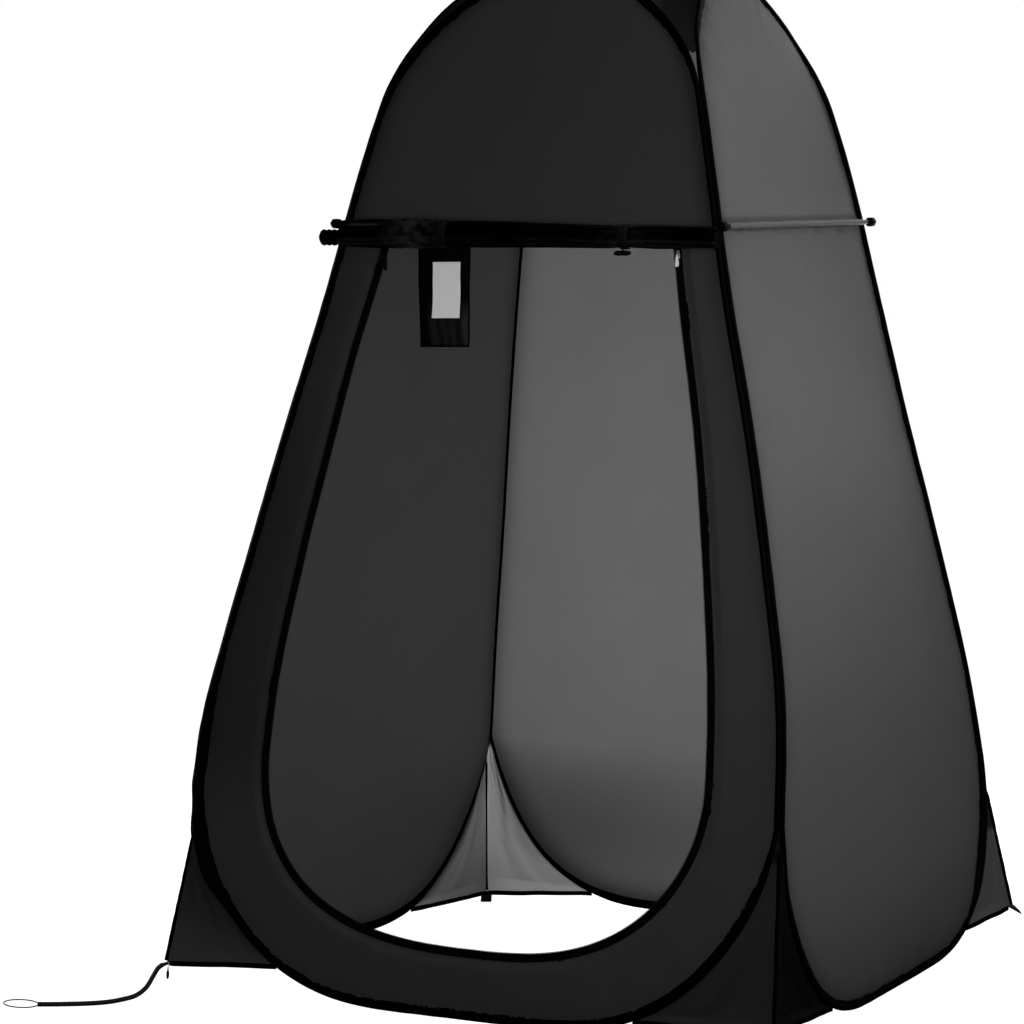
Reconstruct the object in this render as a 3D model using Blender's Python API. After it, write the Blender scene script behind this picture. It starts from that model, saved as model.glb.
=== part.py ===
"""Pop-up shower tent: four sprung hoops in fabric sleeves, one to each face,
sewn together up the four corners, with taut panels inside them, folded gussets
where they part near the ground, and a roof between their tops.

Metres, +Z up. Origin on the ground under the middle of the tent.
The doorway faces -Y. Corners: fl, fr, br, bl (front/back, left/right, as seen
by somebody who looks at the doorway).
"""

import math

import bmesh
import bpy
from mathutils import Vector

# ------------------------------------------------------------- dimensions, m

TOP = 1.905            # height of the hoops' crowns, middle of the sleeve
# the hoops are sewn together up the corners from these heights
SEAM_LO = {"fl": 0.385, "fr": 0.390, "br": 0.364, "bl": 0.333}
SEAM_HI = 1.655        # to this one
# height and half width of the tent at its corner seams, and of each face
HALF = (
    (0.000, 0.601), (0.170, 0.595), (0.333, 0.581), (0.576, 0.552),
    (0.816, 0.504), (1.056, 0.460), (1.296, 0.408), (1.536, 0.357),
    (1.680, 0.322), (1.800, 0.286), (1.905, 0.248),
)
# how far each corner seam leans out sideways, at these heights
LEAN_Z = (0.0, 0.20, 0.36, 0.60, 0.82, 1.056, 1.30, 1.536, 1.80)
LEAN = {
    "fl": (0.0, 0.0060, -0.0015, 0.0005, -0.0018, -0.0155, -0.0200, -0.0185, -0.0200),
    "fr": (0.0, 0.0060, 0.0185, 0.0385, 0.0400, 0.0315, 0.0180, 0.0135, 0.0110),
    "br": (0.0, -0.0073, -0.0114, -0.0174, -0.0128, -0.0173, -0.0060, 0.0025, 0.0030),
    "bl": (0.0, -0.0085, -0.0150, -0.0155, -0.0110, -0.0060, 0.0, 0.0010, 0.0010),
}
# how far a corner is tucked in at the ground, in x and in y
TUCK = {"bl": (0.087, 0.219)}
# how far below the corner seam the sleeves start to turn towards it
TURN = {"fl": 0.17, "fr": 0.17, "br": 0.17, "bl": 0.31}
# height of the pole seam at each corner
ROD_Z = {"fl": 1.436, "fr": 1.418, "br": 1.446, "bl": 1.436}
# where the gussets meet the ground, one point per corner
GROUND = {
    "fl": (-0.628, -0.618, 0.046),
    "fr": (0.600, -0.604, 0.040),
    "br": (0.622, 0.624, 0.042),
    "bl": (-0.500, 0.436, 0.0080),
}

SLEEVE = 0.018         # width of a hoop's flattened sleeve
SLEEVE_T = 0.007       # and its thickness
SLIM = 0.24            # up the corner seams it is this much narrower
WAIST = {"fl": 0.0, "fr": 0.0, "br": 0.0, "bl": 0.30}        # and halfway down from them
STOUT = {"fl": 0.30, "fr": 0.30, "br": 0.30, "bl": -0.45}    # and thicker or thinner
CLOTH = 0.002          # thickness of the cloth
GAP = 0.0004           # between pieces that are sewn together
REST_HALF = 0.11       # half length of the stretch of a hoop that lies flat
ARCH_RISE = 0.0875     # how far the seam's direction carries into the arch
ARCH_FLAT = 0.170      # and how far the crown's level direction carries

N_LOW, N_SEAM, N_HIGH, N_ARCH = 10, 9, 2, 7

DOOR_LOW = 0.120       # bottom of the door's zip
DOOR_MID = 0.450       # height where the doorway is widest
DOOR_X = 0.035         # middle of the doorway's bottom
DOOR_LEFT, DOOR_RIGHT = -0.772, 0.776   # door edges, share of the half width
ZIP_TAPE = 0.018       # width of the zip's tape

FACES = {
    "front": ("fl", "fr"),
    "right": ("fr", "br"),
    "back": ("br", "bl"),
    "left": ("bl", "fl"),
}
SIGN = {"fl": (-1, -1), "fr": (1, -1), "br": (1, 1), "bl": (-1, 1)}
# shape of a hoop's lower curve: how square it is across, and in height
LOW_SHAPE = {("front", -1): (2.90, 1.35), ("front", 1): (2.75, 1.34), ("right", -1): (3.09, 1.10),
             ("right", 1): (3.59, 1.55), ("back", 1): (2.59, 1.18), ("left", -1): (2.77, 1.82)}
LOW_DEFAULT = (2.65, 1.25)

Z = Vector((0, 0, 1))

# ------------------------------------------------------------------ material

def material(name, colour, roughness, metallic=0.0):
    m = bpy.data.materials.new(name)
    m.use_nodes = True
    b = m.node_tree.nodes["Principled BSDF"]
    b.inputs["Base Color"].default_value = (*colour, 1.0)
    b.inputs["Roughness"].default_value = roughness
    b.inputs["Metallic"].default_value = metallic
    m.diffuse_color = (*colour, 1.0)
    return m


# ---------------------------------------------------------------- small maths

def curve(stations, z, flat_start=False):
    """Smooth value at z through (z, value) stations."""
    zs = [s[0] for s in stations]
    vs = [s[1] for s in stations]
    n = len(zs)
    slopes = []
    for i in range(n):
        if i == 0:
            slopes.append(0.0 if flat_start else (vs[1] - vs[0]) / (zs[1] - zs[0]))
        elif i == n - 1:
            slopes.append((vs[-1] - vs[-2]) / (zs[-1] - zs[-2]))
        else:
            slopes.append((vs[i + 1] - vs[i - 1]) / (zs[i + 1] - zs[i - 1]))
    if z <= zs[0]:
        return vs[0] + slopes[0] * (z - zs[0])
    if z >= zs[-1]:
        return vs[-1] + slopes[-1] * (z - zs[-1])
    i = max(j for j in range(n - 1) if zs[j] <= z)
    h = zs[i + 1] - zs[i]
    t = (z - zs[i]) / h
    return (
        vs[i] * (1 + 2 * t) * (1 - t) ** 2
        + slopes[i] * h * t * (1 - t) ** 2
        + vs[i + 1] * t * t * (3 - 2 * t)
        + slopes[i + 1] * h * t * t * (t - 1)
    )


def half(z):
    return curve(HALF, z, flat_start=True)


def lean(k, z):
    z = min(max(z, LEAN_Z[0]), LEAN_Z[-1])
    return curve(tuple(zip(LEAN_Z, LEAN[k])), z, flat_start=True)


def smooth(t):
    t = min(1.0, max(0.0, t))
    return t * t * (3 - 2 * t)


def corner(k, z):
    sx, sy = SIGN[k]
    dx, dy = TUCK.get(k, (0.0, 0.0))
    w = smooth(1 - z / SEAM_LO[k])
    return Vector((sx * (half(z) + lean(k, z) - dx * w), sy * (half(z) - dy * w), z))


def on_face(f, u, z):
    a, b = FACES[f]
    return corner(a, z).lerp(corner(b, z), 0.5 * (1 + u))


def outward(f):
    return {"front": Vector((0, -1, 0)), "right": Vector((1, 0, 0)),
            "back": Vector((0, 1, 0)), "left": Vector((-1, 0, 0))}[f]


def across(f):
    o = outward(f)
    return Vector((-o.y, o.x, 0))


def face_normal(f, z):
    e = 0.004
    slope = (half(z + e) - half(z - e)) / (2 * e)
    slope *= smooth((z - 0.02) / 0.10)
    return (outward(f) - slope * Z).normalized()


def resample(points, count):
    """count + 1 points evenly spaced along a list of (u, z) pairs."""
    d = [0.0]
    for a, b in zip(points, points[1:]):
        d.append(d[-1] + math.hypot((b[0] - a[0]) * 0.5, b[1] - a[1]))
    out = []
    j = 0
    for i in range(count + 1):
        s = d[-1] * i / count
        while j < len(d) - 2 and d[j + 1] < s:
            j += 1
        t = (s - d[j]) / max(1e-12, d[j + 1] - d[j])
        a, b = points[j], points[j + 1]
        out.append((a[0] + (b[0] - a[0]) * t, a[1] + (b[1] - a[1]) * t))
    return out


# --------------------------------------------------------------------- hoops

def half_hoop(f, s):
    """(u, z) from the flat stretch on the ground up to the crown, u >= 0."""
    k = FACES[f][0 if s < 0 else 1]
    n, m = LOW_SHAPE.get((f, s), LOW_DEFAULT)
    base, lo = SLEEVE / 2, SEAM_LO[k]
    low = []
    steps = 400
    flat_u = REST_HALF / half(base)
    for i in range(steps + 1):
        t = 0.5 * math.pi * (1 - i / steps)
        u = flat_u + (1 - flat_u) * math.cos(t) ** (2 / n)
        z = base + (lo - base) * (1 - math.sin(t) ** (2 / m))
        low.append((u, z))
    low[-1] = (1.0, lo)
    pts = resample(low, N_LOW)
    rod = ROD_Z[k]
    for i in range(1, N_SEAM + 1):
        pts.append((1.0, lo + (rod - lo) * i / N_SEAM))
    for i in range(1, N_HIGH + 1):
        pts.append((1.0, rod + (SEAM_HI - rod) * i / N_HIGH))
    x0 = half(SEAM_HI)
    c = ((x0, SEAM_HI), (x0 - 0.24 * ARCH_RISE, SEAM_HI + ARCH_RISE),
         (ARCH_FLAT, TOP), (0.0, TOP))
    arch = []
    for i in range(steps + 1):
        t = i / steps
        b = ((1 - t) ** 3, 3 * t * (1 - t) ** 2, 3 * t * t * (1 - t), t ** 3)
        x = sum(w * p[0] for w, p in zip(b, c))
        z = sum(w * p[1] for w, p in zip(b, c))
        if x > 0.03:
            arch.append((min(1.0, x / half(z)), z))
    pts += resample(arch, N_ARCH)[1:]
    return pts


I_SEAM = N_LOW                       # first sample of the corner seam
I_ROD = N_LOW + N_SEAM               # sample at the pole seam
I_HIGH = I_ROD + N_HIGH              # sample where the arch leaves the seam
I_TOP = I_HIGH + N_ARCH


def twist(k, z):
    """1 up the corner seam, where two sleeves lie flat against each other."""
    low = smooth((z - (SEAM_LO[k] - TURN[k])) / TURN[k])
    return low * smooth((SEAM_HI + 0.15 - z) / 0.15)


def hoop_frames(f):
    """Middle, thickness direction, outward edge direction, tangent, half width
    and half thickness at each sample: first the right half from the ground up,
    then the left half down."""
    right = [(u, z, 1) for u, z in half_hoop(f, 1)]
    left = [(-u, z, -1) for u, z in half_hoop(f, -1)]
    loop = right + left[::-1]
    pts = [on_face(f, u, z) for u, z, _ in loop]
    n = len(loop)
    out = []
    for i, (u, z, s) in enumerate(loop):
        t = (pts[(i + 1) % n] - pts[i - 1]).normalized()
        k = FACES[f][0 if s < 0 else 1]
        w = twist(k, z)
        a = math.radians(45) * w
        nrm = face_normal(f, z) * math.cos(a) - across(f) * (s * math.sin(a))
        if z < SLEEVE / 2 + 1e-6:
            t = across(f)
            nrm = outward(f)
        nrm = (nrm - t * nrm.dot(t)).normalized()
        edge = t.cross(nrm).normalized()      # away from the middle of the face
        e = SLEEVE / 2 * (1 - SLIM * w - (WAIST[k] * 4 * w * (1 - w) if z < 1 else 0))
        h = SLEEVE_T / 2 * (1 + STOUT[k] * w)
        mid = pts[i] + nrm * (w * (h + GAP / 2))
        out.append((mid, nrm, edge, t, e, h))
    return out


FRAMES = {f: hoop_frames(f) for f in FACES}
COUNT = I_TOP + 1


def sample(f, s, i):
    """Frame i of one half of a hoop: s = 1 right, -1 left, i from the ground."""
    fr = FRAMES[f]
    return fr[i] if s > 0 else fr[2 * COUNT - 1 - i]


def inner_edge(f, s, i):
    mid, nrm, edge, t, e, h = sample(f, s, i)
    return mid - edge * (e + 0.0010)


def outer_edge(f, s, i):
    mid, nrm, edge, t, e, h = sample(f, s, i)
    return mid + edge * (e + 0.0010)


# ------------------------------------------------------------------- meshing

def new_object(name, bm, mat, smooth_angle=35):
    bmesh.ops.recalc_face_normals(bm, faces=bm.faces)
    if bm.calc_volume(signed=True) < 0:
        bmesh.ops.reverse_faces(bm, faces=bm.faces)
    me = bpy.data.meshes.new(name)
    bm.to_mesh(me)
    bm.free()
    me.shade_smooth()
    me.set_sharp_from_angle(angle=math.radians(smooth_angle))
    ob = bpy.data.objects.new(name, me)
    me.materials.append(mat)
    bpy.context.scene.collection.objects.link(ob)
    return ob


def loft(name, rings, mat, closed=False):
    """Solid through rings of equal length; ends capped unless it is a loop."""
    bm = bmesh.new()
    vs = [[bm.verts.new(p) for p in r] for r in rings]
    n = len(rings[0])
    m = len(rings)
    for i in range(m if closed else m - 1):
        a, b = vs[i], vs[(i + 1) % m]
        for j in range(n):
            k = (j + 1) % n
            bm.faces.new((a[j], a[k], b[k], b[j]))
    if not closed:
        bm.faces.new(vs[0][::-1])
        bm.faces.new(vs[-1])
    return new_object(name, bm, mat)


def thick_sheet(name, bm, mat, thickness=CLOTH):
    """An open sheet, given its thickness by Solidify."""
    me = bpy.data.meshes.new(name)
    bm.to_mesh(me)
    bm.free()
    me.shade_smooth()
    ob = bpy.data.objects.new(name, me)
    me.materials.append(mat)
    bpy.context.scene.collection.objects.link(ob)
    s = ob.modifiers.new("thickness", "SOLIDIFY")
    s.thickness = thickness
    s.offset = 0.0
    return ob


def cloth(name, rows, mat):
    """A sheet through rows of points."""
    bm = bmesh.new()
    vs = [[bm.verts.new(p) for p in r] for r in rows]
    for a, b in zip(vs, vs[1:]):
        for j in range(len(a) - 1):
            bm.faces.new((a[j], a[j + 1], b[j + 1], b[j]))
    return thick_sheet(name, bm, mat)


def strip(name, points, ups, width, thick, mat):
    """A flat tape along points; ups give the direction of its width."""
    rings = []
    n = len(points)
    for i, (p, u) in enumerate(zip(points, ups)):
        t = (points[min(i + 1, n - 1)] - points[max(i - 1, 0)]).normalized()
        u = (u - t * u.dot(t)).normalized()
        v = t.cross(u).normalized()
        a, b = u * (width / 2), v * (thick / 2)
        rings.append([p + a * 0.8 + b, p + a, p + a * 0.8 - b,
                      p - a * 0.8 - b, p - a, p - a * 0.8 + b])
    return loft(name, rings, mat)


def row(a, b, n):
    return [a.lerp(b, i / n) for i in range(n + 1)]


# -------------------------------------------------------------------- pieces

def build():
    for o in list(bpy.data.objects):
        bpy.data.objects.remove(o, do_unlink=True)

    cloth_front = material("black_polyester", (0.018, 0.018, 0.018), 0.62)
    cloth_side = material("black_polyester_thin", (0.060, 0.060, 0.060), 0.62)
    binding = material("black_binding_tape", (0.006, 0.006, 0.006), 0.75)
    webbing = material("black_webbing", (0.008, 0.008, 0.008), 0.80)
    rod = material("black_coated_rod", (0.010, 0.010, 0.010), 0.40)
    plastic = material("black_plastic", (0.012, 0.012, 0.012), 0.45)
    silver = material("silver_metal", (0.55, 0.55, 0.54), 0.30, 1.0)
    white = material("white_satin", (0.55, 0.55, 0.55), 0.60)

    # hoops: flattened six-sided sleeves, narrow flats on their edges
    section = ((1.0, 0.43), (0.0, 1.0), (-1.0, 0.43), (-1.0, -0.43), (0.0, -1.0), (1.0, -0.43))
    for f in FACES:
        rings = [[mid + edge * (e * a) + nrm * (h * b) for a, b in section]
                 for mid, nrm, edge, _, e, h in FRAMES[f]]
        loft("hoop_" + f, rings, binding, closed=True)

    # taut panels in the hoops, in two parts above and below the pole seam
    for f in FACES:
        mat = cloth_front if f == "front" else cloth_side
        top = []
        for i in range(I_ROD, I_TOP + 1):
            a, b = inner_edge(f, -1, i), inner_edge(f, 1, i)
            if i == I_ROD:
                a, b = a + Z * 0.0006, b + Z * 0.0006
            top.append(row(a, b, 3))
        cloth(f + "_panel_upper", top, mat)
        if f == "front":
            continue
        low = []
        for i in range(0, I_ROD + 1):
            a, b = inner_edge(f, -1, i), inner_edge(f, 1, i)
            if i == I_ROD:
                a, b = a - Z * 0.0006, b - Z * 0.0006
            low.append(row(a, b, 3))
        cloth(f + "_panel_lower", low, mat)

    front_lower(cloth_front, binding)
    roof(cloth_front)
    corners(cloth_side, cloth_front, binding, webbing)
    poles(rod, cloth_side)
    door(cloth_front, webbing, plastic, silver, binding)
    pocket(cloth_front, white)
    strap(webbing)


def door_edge(s, z):
    """The doorway's edge at height z, as a share of the half width."""
    if s < 0:
        return DOOR_LEFT - 0.018 * smooth((z - 0.45) / 0.40) + 0.035 * smooth((z - 1.18) / 0.26)
    return DOOR_RIGHT + 0.018 * smooth((z - 0.50) / 0.60)


def door_outline():
    """Middle line of the door's zip, from its top left end round to its top
    right end, as (point, direction across the tape, away from the doorway)."""
    zs = DOOR_MID
    top = 1.398
    n = 9
    pts = []
    for i in range(n):
        z = top + (zs - top) * i / n
        pts.append(on_face("front", door_edge(-1, z), z))
    xl = on_face("front", DOOR_LEFT, zs).x
    xr = on_face("front", DOOR_RIGHT, zs).x
    m = 10
    low = []
    for s, ex, n_, m_ in ((-1, xl, 2.74, 2.41), (1, xr, 2.54, 1.90)):
        half_low = []
        for i in range(300 + 1):
            t = 0.5 * math.pi * i / 300
            x = DOOR_X + (ex - DOOR_X) * math.cos(t) ** (2 / n_)
            z = DOOR_LOW + (zs - DOOR_LOW) * (1 - math.sin(t) ** (2 / m_))
            half_low.append((x * 2, z))
        half_low = [(x / 2, z) for x, z in resample(half_low, m)]
        low.append(half_low)
    lowpts = low[0][:-1] + low[1][::-1]
    for x, z in lowpts:
        y = -half(z)
        pts.append(Vector((x, y, z)))
    for i in range(1, n + 1):
        z = zs + (top - zs) * i / n
        pts.append(on_face("front", door_edge(1, z), z))
    out = []
    for i, p in enumerate(pts):
        t = (pts[min(i + 1, len(pts) - 1)] - pts[max(i - 1, 0)]).normalized()
        nrm = face_normal("front", p.z)
        a = t.cross(nrm).normalized()
        out.append((p, a, t))
    return out


def front_lower(mat, binding):
    """The front below the door's top: one cloth round the doorway."""
    line = door_outline()
    m = len(line)
    # outer edge: the hoop's inner edge, from the pole seam on the left, down,
    # across and up to the pole seam on the right
    outer = [inner_edge("front", -1, i) for i in range(I_ROD, -1, -1)]
    outer += [inner_edge("front", 1, i) for i in range(0, I_ROD + 1)]
    outer[0] = outer[0] - Z * 0.0006
    outer[-1] = outer[-1] - Z * 0.0006
    # door edge, continued up behind the rolled door to the pole seam
    edge = [p + a * (ZIP_TAPE / 2 + 0.0007) for p, a, _ in line]
    u0, u1 = door_edge(-1, 1.44), door_edge(1, 1.44)
    first = on_face("front", u0, ROD_Z["fl"] - 0.003) - Vector((0.010, 0, 0))
    last = on_face("front", u1, ROD_Z["fr"] - 0.003) + Vector((0.010, 0, 0))
    edge = [first] + edge + [last]

    def share(pts):
        d = [0.0]
        for a, b in zip(pts, pts[1:]):
            d.append(d[-1] + (b - a).length)
        return [x / d[-1] for x in d]

    # bridge the two edges, always from the one that lags behind; the lowest
    # points of both are matched
    low_i = min(range(len(edge)), key=lambda i: edge[i].z + 0.02 * abs(edge[i].x - DOOR_X))
    so, se = share(outer), share(edge)
    half_o = 0.5 * (so[I_ROD] + so[I_ROD + 1])
    qo = [0.5 * x / half_o if x < half_o else 0.5 + 0.5 * (x - half_o) / (1 - half_o) for x in so]
    half_e = se[low_i]
    qe = [0.5 * x / half_e if x < half_e else 0.5 + 0.5 * (x - half_e) / (1 - half_e) for x in se]
    bm = bmesh.new()
    vo = [bm.verts.new(p) for p in outer]
    ve = [bm.verts.new(p) for p in edge]
    i = j = 0
    while i < len(vo) - 1 or j < len(ve) - 1:
        if j == len(ve) - 1 or (i < len(vo) - 1 and qo[i + 1] <= qe[j + 1]):
            bm.faces.new((vo[i], vo[i + 1], ve[j]))
            i += 1
        else:
            bm.faces.new((vo[i], ve[j + 1], ve[j]))
            j += 1
    bmesh.ops.recalc_face_normals(bm, faces=bm.faces)
    thick_sheet("front_panel_lower", bm, mat)
    strip("door_zip", [p for p, _, _ in line], [a for _, a, _ in line],
          ZIP_TAPE, 0.0026, binding)


def roof(mat):
    """One cloth between the four arches: a gore down into each corner and a
    square between the crowns."""
    bm = bmesh.new()
    start = I_HIGH + 1
    cache = {}

    def vert(p):
        key = (round(p.x, 6), round(p.y, 6), round(p.z, 6))
        if key not in cache:
            cache[key] = bm.verts.new(p)
        return cache[key]

    order = ("front", "right", "back", "left")
    crown = {}
    for f in order:
        a, b = outer_edge(f, -1, I_TOP), outer_edge(f, 1, I_TOP)
        crown[f] = a.lerp(b, 0.5)
    for n, f in enumerate(order):
        g = order[(n + 1) % 4]
        rows = []
        for i in range(start, I_TOP + 1):
            a, b = outer_edge(f, 1, i), outer_edge(g, -1, i)
            if i == start:
                a = a + sample(f, 1, i)[2] * 0.0012
                b = b + sample(g, -1, i)[2] * 0.0012
            rows.append(row(a, b, 2))
        for r0, r1 in zip(rows, rows[1:]):
            for j in range(2):
                bm.faces.new((vert(r0[j]), vert(r0[j + 1]), vert(r1[j + 1]), vert(r1[j])))
    centre = vert(Vector((0, 0, sum((crown[f].z for f in order)) / 4 - 0.026)))
    ring = []
    for n, f in enumerate(order):
        g = order[(n + 1) % 4]
        ring.append(vert(outer_edge(f, -1, I_TOP)))
        ring += [vert(p) for p in row(outer_edge(f, 1, I_TOP), outer_edge(g, -1, I_TOP), 2)[:-1]]
    for a, b in zip(ring, ring[1:] + ring[:1]):
        bm.faces.new((a, b, centre))
    bmesh.ops.recalc_face_normals(bm, faces=bm.faces)
    thick_sheet("roof_panel", bm, mat)


# hoop sample where a gusset's hem meets the hoop
HEM_I = {"fl": 4, "fr": 3, "br": 4, "bl": 3}
# how far below the corner seam the ridge starts
RIDGE_DROP = {"fl": 0.060, "fr": 0.060, "br": 0.085, "bl": 0.065}
RIDGE_W, RIDGE_T = 0.007, 0.0045
HEM_W, HEM_T = 0.010, 0.0040


def corners(mat_side, mat_front, binding, webbing):
    """Two gussets at each corner, the ridge tape between them, the tape on
    their hems, and a webbing loop for a peg."""
    ends = {"fl": (("front", -1), ("left", 1)), "fr": (("right", -1), ("front", 1)),
            "br": (("back", -1), ("right", 1)), "bl": (("left", -1), ("back", 1))}
    for k, sides in ends.items():
        g = Vector(GROUND[k])
        sx, sy = SIGN[k]
        diag = Vector((sx, sy, 0)).normalized()
        top = corner(k, SEAM_LO[k] - RIDGE_DROP[k]) + diag * 0.004
        foot = g + Z * (HEM_W / 2 + 0.0012)
        ridge = lambda q: top.lerp(foot, q)
        down_ridge = (foot - top).normalized()
        side = Vector((-diag.y, diag.x, 0))
        strip("ridge_" + k, [ridge(q) for q in (0.0, 0.35, 0.7, 1.0)],
              [side] * 4, RIDGE_W, RIDGE_T, binding)
        hems = []
        for f, s in sides:
            pts = [outer_edge(f, s, i) for i in range(HEM_I[k], N_LOW - 1)]
            # bottom row first, each row about level from the ridge to the hoop
            rows = []
            last = len(pts) - 1
            for i, p in enumerate(pts):
                level = (top.z - p.z) / (top.z - foot.z)
                even = 1 - 0.92 * i / last
                q = 0.65 * level + 0.35 * even if 0 < i < last else even
                r = ridge(min(1.0, max(0.08, q)))
                if i == 0:
                    # the bottom edge stands on the hem's upper edge
                    up = HEM_W / 2 + 0.0008
                    p = p.lerp(pts[1], up / (pts[1].z - pts[0].z))
                    r = r + Z * 0.0006
                way = p - r
                way = (way - down_ridge * way.dot(down_ridge)).normalized()
                r = r + way * (RIDGE_W / 2 + 0.0010)
                rows.append(row(r, p, 2))
            name = {"front": "front", "right": "right", "back": "back", "left": "left"}[f]
            cloth("gusset_%s_%s" % (k, name), rows, mat_front if f == "front" else mat_side)
            # the hem's square end starts where its upper corner clears the hoop
            along, way = (pts[1] - pts[0]).normalized(), (g - pts[0]).normalized()
            sine = along.cross(way).length
            start = max(0.0, HEM_W / 2 * along.dot(way) / sine) + 0.0012 / sine
            hems.append(pts[0] + way * start)
        a, b = hems
        bend = 0.012
        path = [a, a.lerp(g, 0.5), g + (a - g).normalized() * bend,
                g + ((a - g).normalized() + (b - g).normalized()) * bend * 0.30,
                g + (b - g).normalized() * bend, b.lerp(g, 0.5), b]
        strip("hem_" + k, path, [Z] * 7, HEM_W, HEM_T, binding)
        # loop: a flat ring of webbing that points out from the corner, but
        # beside the strap at the front left, and forward at the back left
        down = Vector((diag.x, diag.y, -0.75)).normalized()
        base = g + diag * 0.0045 + down * 0.0020
        if k == "fl":
            down, side = Vector((0, -0.1, -1)).normalized(), Vector((1, 0, 0))
            base = g + Vector((0.015, 0, -0.0065))
        if k == "bl":
            down = Vector((0.45, -0.9, -0.03)).normalized()
            side = Vector((-down.y, down.x, 0)).normalized()
            base = g + down * 0.0188
        rings = []
        n = 12
        nn = down.cross(side).normalized()
        for i in range(n):
            t = 2 * math.pi * i / n
            if k == "bl":
                # wide webbing folded flat on the ground, its loop open sideways
                c = base + down * (0.0330 + 0.0300 * math.cos(t)) + nn * (0.0026 * math.sin(t))
                rad = (down * (0.0026 * math.cos(t)) + nn * (0.0300 * math.sin(t))).normalized()
                a, b = rad * 0.0008, side * 0.0115
            else:
                c = base + down * (0.0125 + 0.0095 * math.cos(t)) + side * (0.0070 * math.sin(t))
                rad = (down * math.cos(t) + side * math.sin(t)).normalized()
                a, b = rad * 0.0020, nn * 0.0009
            rings.append([c + a + b, c - a + b, c - a - b, c + a - b])
        loft("peg_loop_" + k, rings, webbing, closed=True)


def tube(name, path, radius, mat, sides=10):
    rings = []
    n = len(path)
    ref = Z if abs((path[-1] - path[0]).normalized().z) < 0.9 else Vector((1, 0, 0))
    for i, (p, r) in enumerate(zip(path, radius)):
        t = (path[min(i + 1, n - 1)] - path[max(i - 1, 0)]).normalized()
        u = (ref - t * ref.dot(t)).normalized()
        v = t.cross(u)
        rings.append([p + (u * math.cos(2 * math.pi * j / sides)
                           + v * math.sin(2 * math.pi * j / sides)) * r
                      for j in range(sides)])
    return loft(name, rings, mat)


POLE_R = 0.004
POLE_OUT = 0.0166      # the pole's axis stands this far outside the panel
TIP_R = 0.0095


def poles(rod, cloth):
    """A straight pole across each side in a sleeve of cloth."""
    for name, ka, kb in (("right", "fr", "br"), ("left", "bl", "fl")):
        a = corner(ka, ROD_Z[ka])
        b = corner(kb, ROD_Z[kb])
        way = (b - a).normalized()
        flat = Vector((way.x, way.y, 0)).normalized()
        out = Vector((flat.y, -flat.x, 0))
        a = a + out * POLE_OUT
        b = b + out * POLE_OUT
        ends = {"fr": 0.0240, "br": 0.034, "bl": 0.034, "fl": 0.026}
        p0 = a - way * ends[ka]
        p1 = b + way * ends[kb]
        tip = 0.020
        path = [p0, p0 + way * 0.002, p0 + way * (tip - 0.002), p0 + way * tip,
                p1 - way * tip, p1 - way * (tip - 0.002), p1 - way * 0.002, p1]
        radius = [0.0075, TIP_R, TIP_R, POLE_R, POLE_R, TIP_R, TIP_R, 0.0075]
        tube("side_pole_" + name, path, radius, rod, 8)
        # sleeve: a hollow pocket, flat against the panel, from hoop to hoop
        inset = 0.030
        s0, s1 = a + way * inset, b - way * inset
        up = way.cross(out)
        if up.z < 0:
            up = -up
        hole = 0.0052
        back = -(POLE_OUT - 0.0015 - CLOTH / 2)
        outer = []
        inner = []
        m = 12
        for j in range(m):
            t = 2 * math.pi * j / m
            c, s = math.cos(t), math.sin(t)
            inner.append((hole * c, hole * s))
            if c >= 0:
                outer.append((0.0080 * c, 0.0090 * s))
            else:
                outer.append((max(back, back * min(1.0, -c * 2.2)), 0.0105 * s if abs(s) > 0.4 else 0.0105 * s))
        bm = bmesh.new()
        vo = [[bm.verts.new(q + out * x + up * y) for x, y in outer] for q in (s0, s1)]
        vi = [[bm.verts.new(q + out * x + up * y) for x, y in inner] for q in (s0, s1)]
        for j in range(m):
            k = (j + 1) % m
            bm.faces.new((vo[0][j], vo[0][k], vo[1][k], vo[1][j]))
            bm.faces.new((vi[0][k], vi[0][j], vi[1][j], vi[1][k]))
            bm.faces.new((vo[0][k], vo[0][j], vi[0][j], vi[0][k]))
            bm.faces.new((vo[1][j], vo[1][k], vi[1][k], vi[1][j]))
        new_object("pole_sleeve_" + name, bm, cloth)


ROLL_R = 0.0185
ROLL_OUT = 0.0300      # roll's axis in front of the face, at the hoops
ROLL_Z = (1.413, 1.398)    # its height at the left and right hoops


def roll_axis(x):
    """Middle of the rolled door at x, its half depth and its half height."""
    xl, xr = corner("fl", 1.412).x, corner("fr", 1.403).x
    s = (x - xl) / (xr - xl)
    z = ROLL_Z[0] + (ROLL_Z[1] - ROLL_Z[0]) * s
    y = -half(z)
    # between the hoops the roll lies closer to the cloth
    near = smooth((s - 0.045) / 0.06) * smooth((0.955 - s) / 0.06)
    back = y - 0.0105 + near * 0.0075
    front = y - ROLL_OUT - ROLL_R
    depth = (back - front) / 2
    height = ROLL_R + 0.0024 - 0.0020 * s + 0.0008 * math.sin(9.0 * s) + 0.0010 * near
    # it is taller on the left, where the door's header is rolled in with it,
    # and its left end beyond the hoop is slimmer and lower
    lift = 0.0042 * (1 - smooth((s - 0.35) / 0.50))
    end = smooth((0.0176 - s) / 0.0070)
    z += lift * (1 - end) - 0.0034 * end
    height = (height + lift) * (1 - end) + 0.0145 * end
    return Vector((x, (back + front) / 2, z)), depth * (1 - 0.30 * end), height


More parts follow.
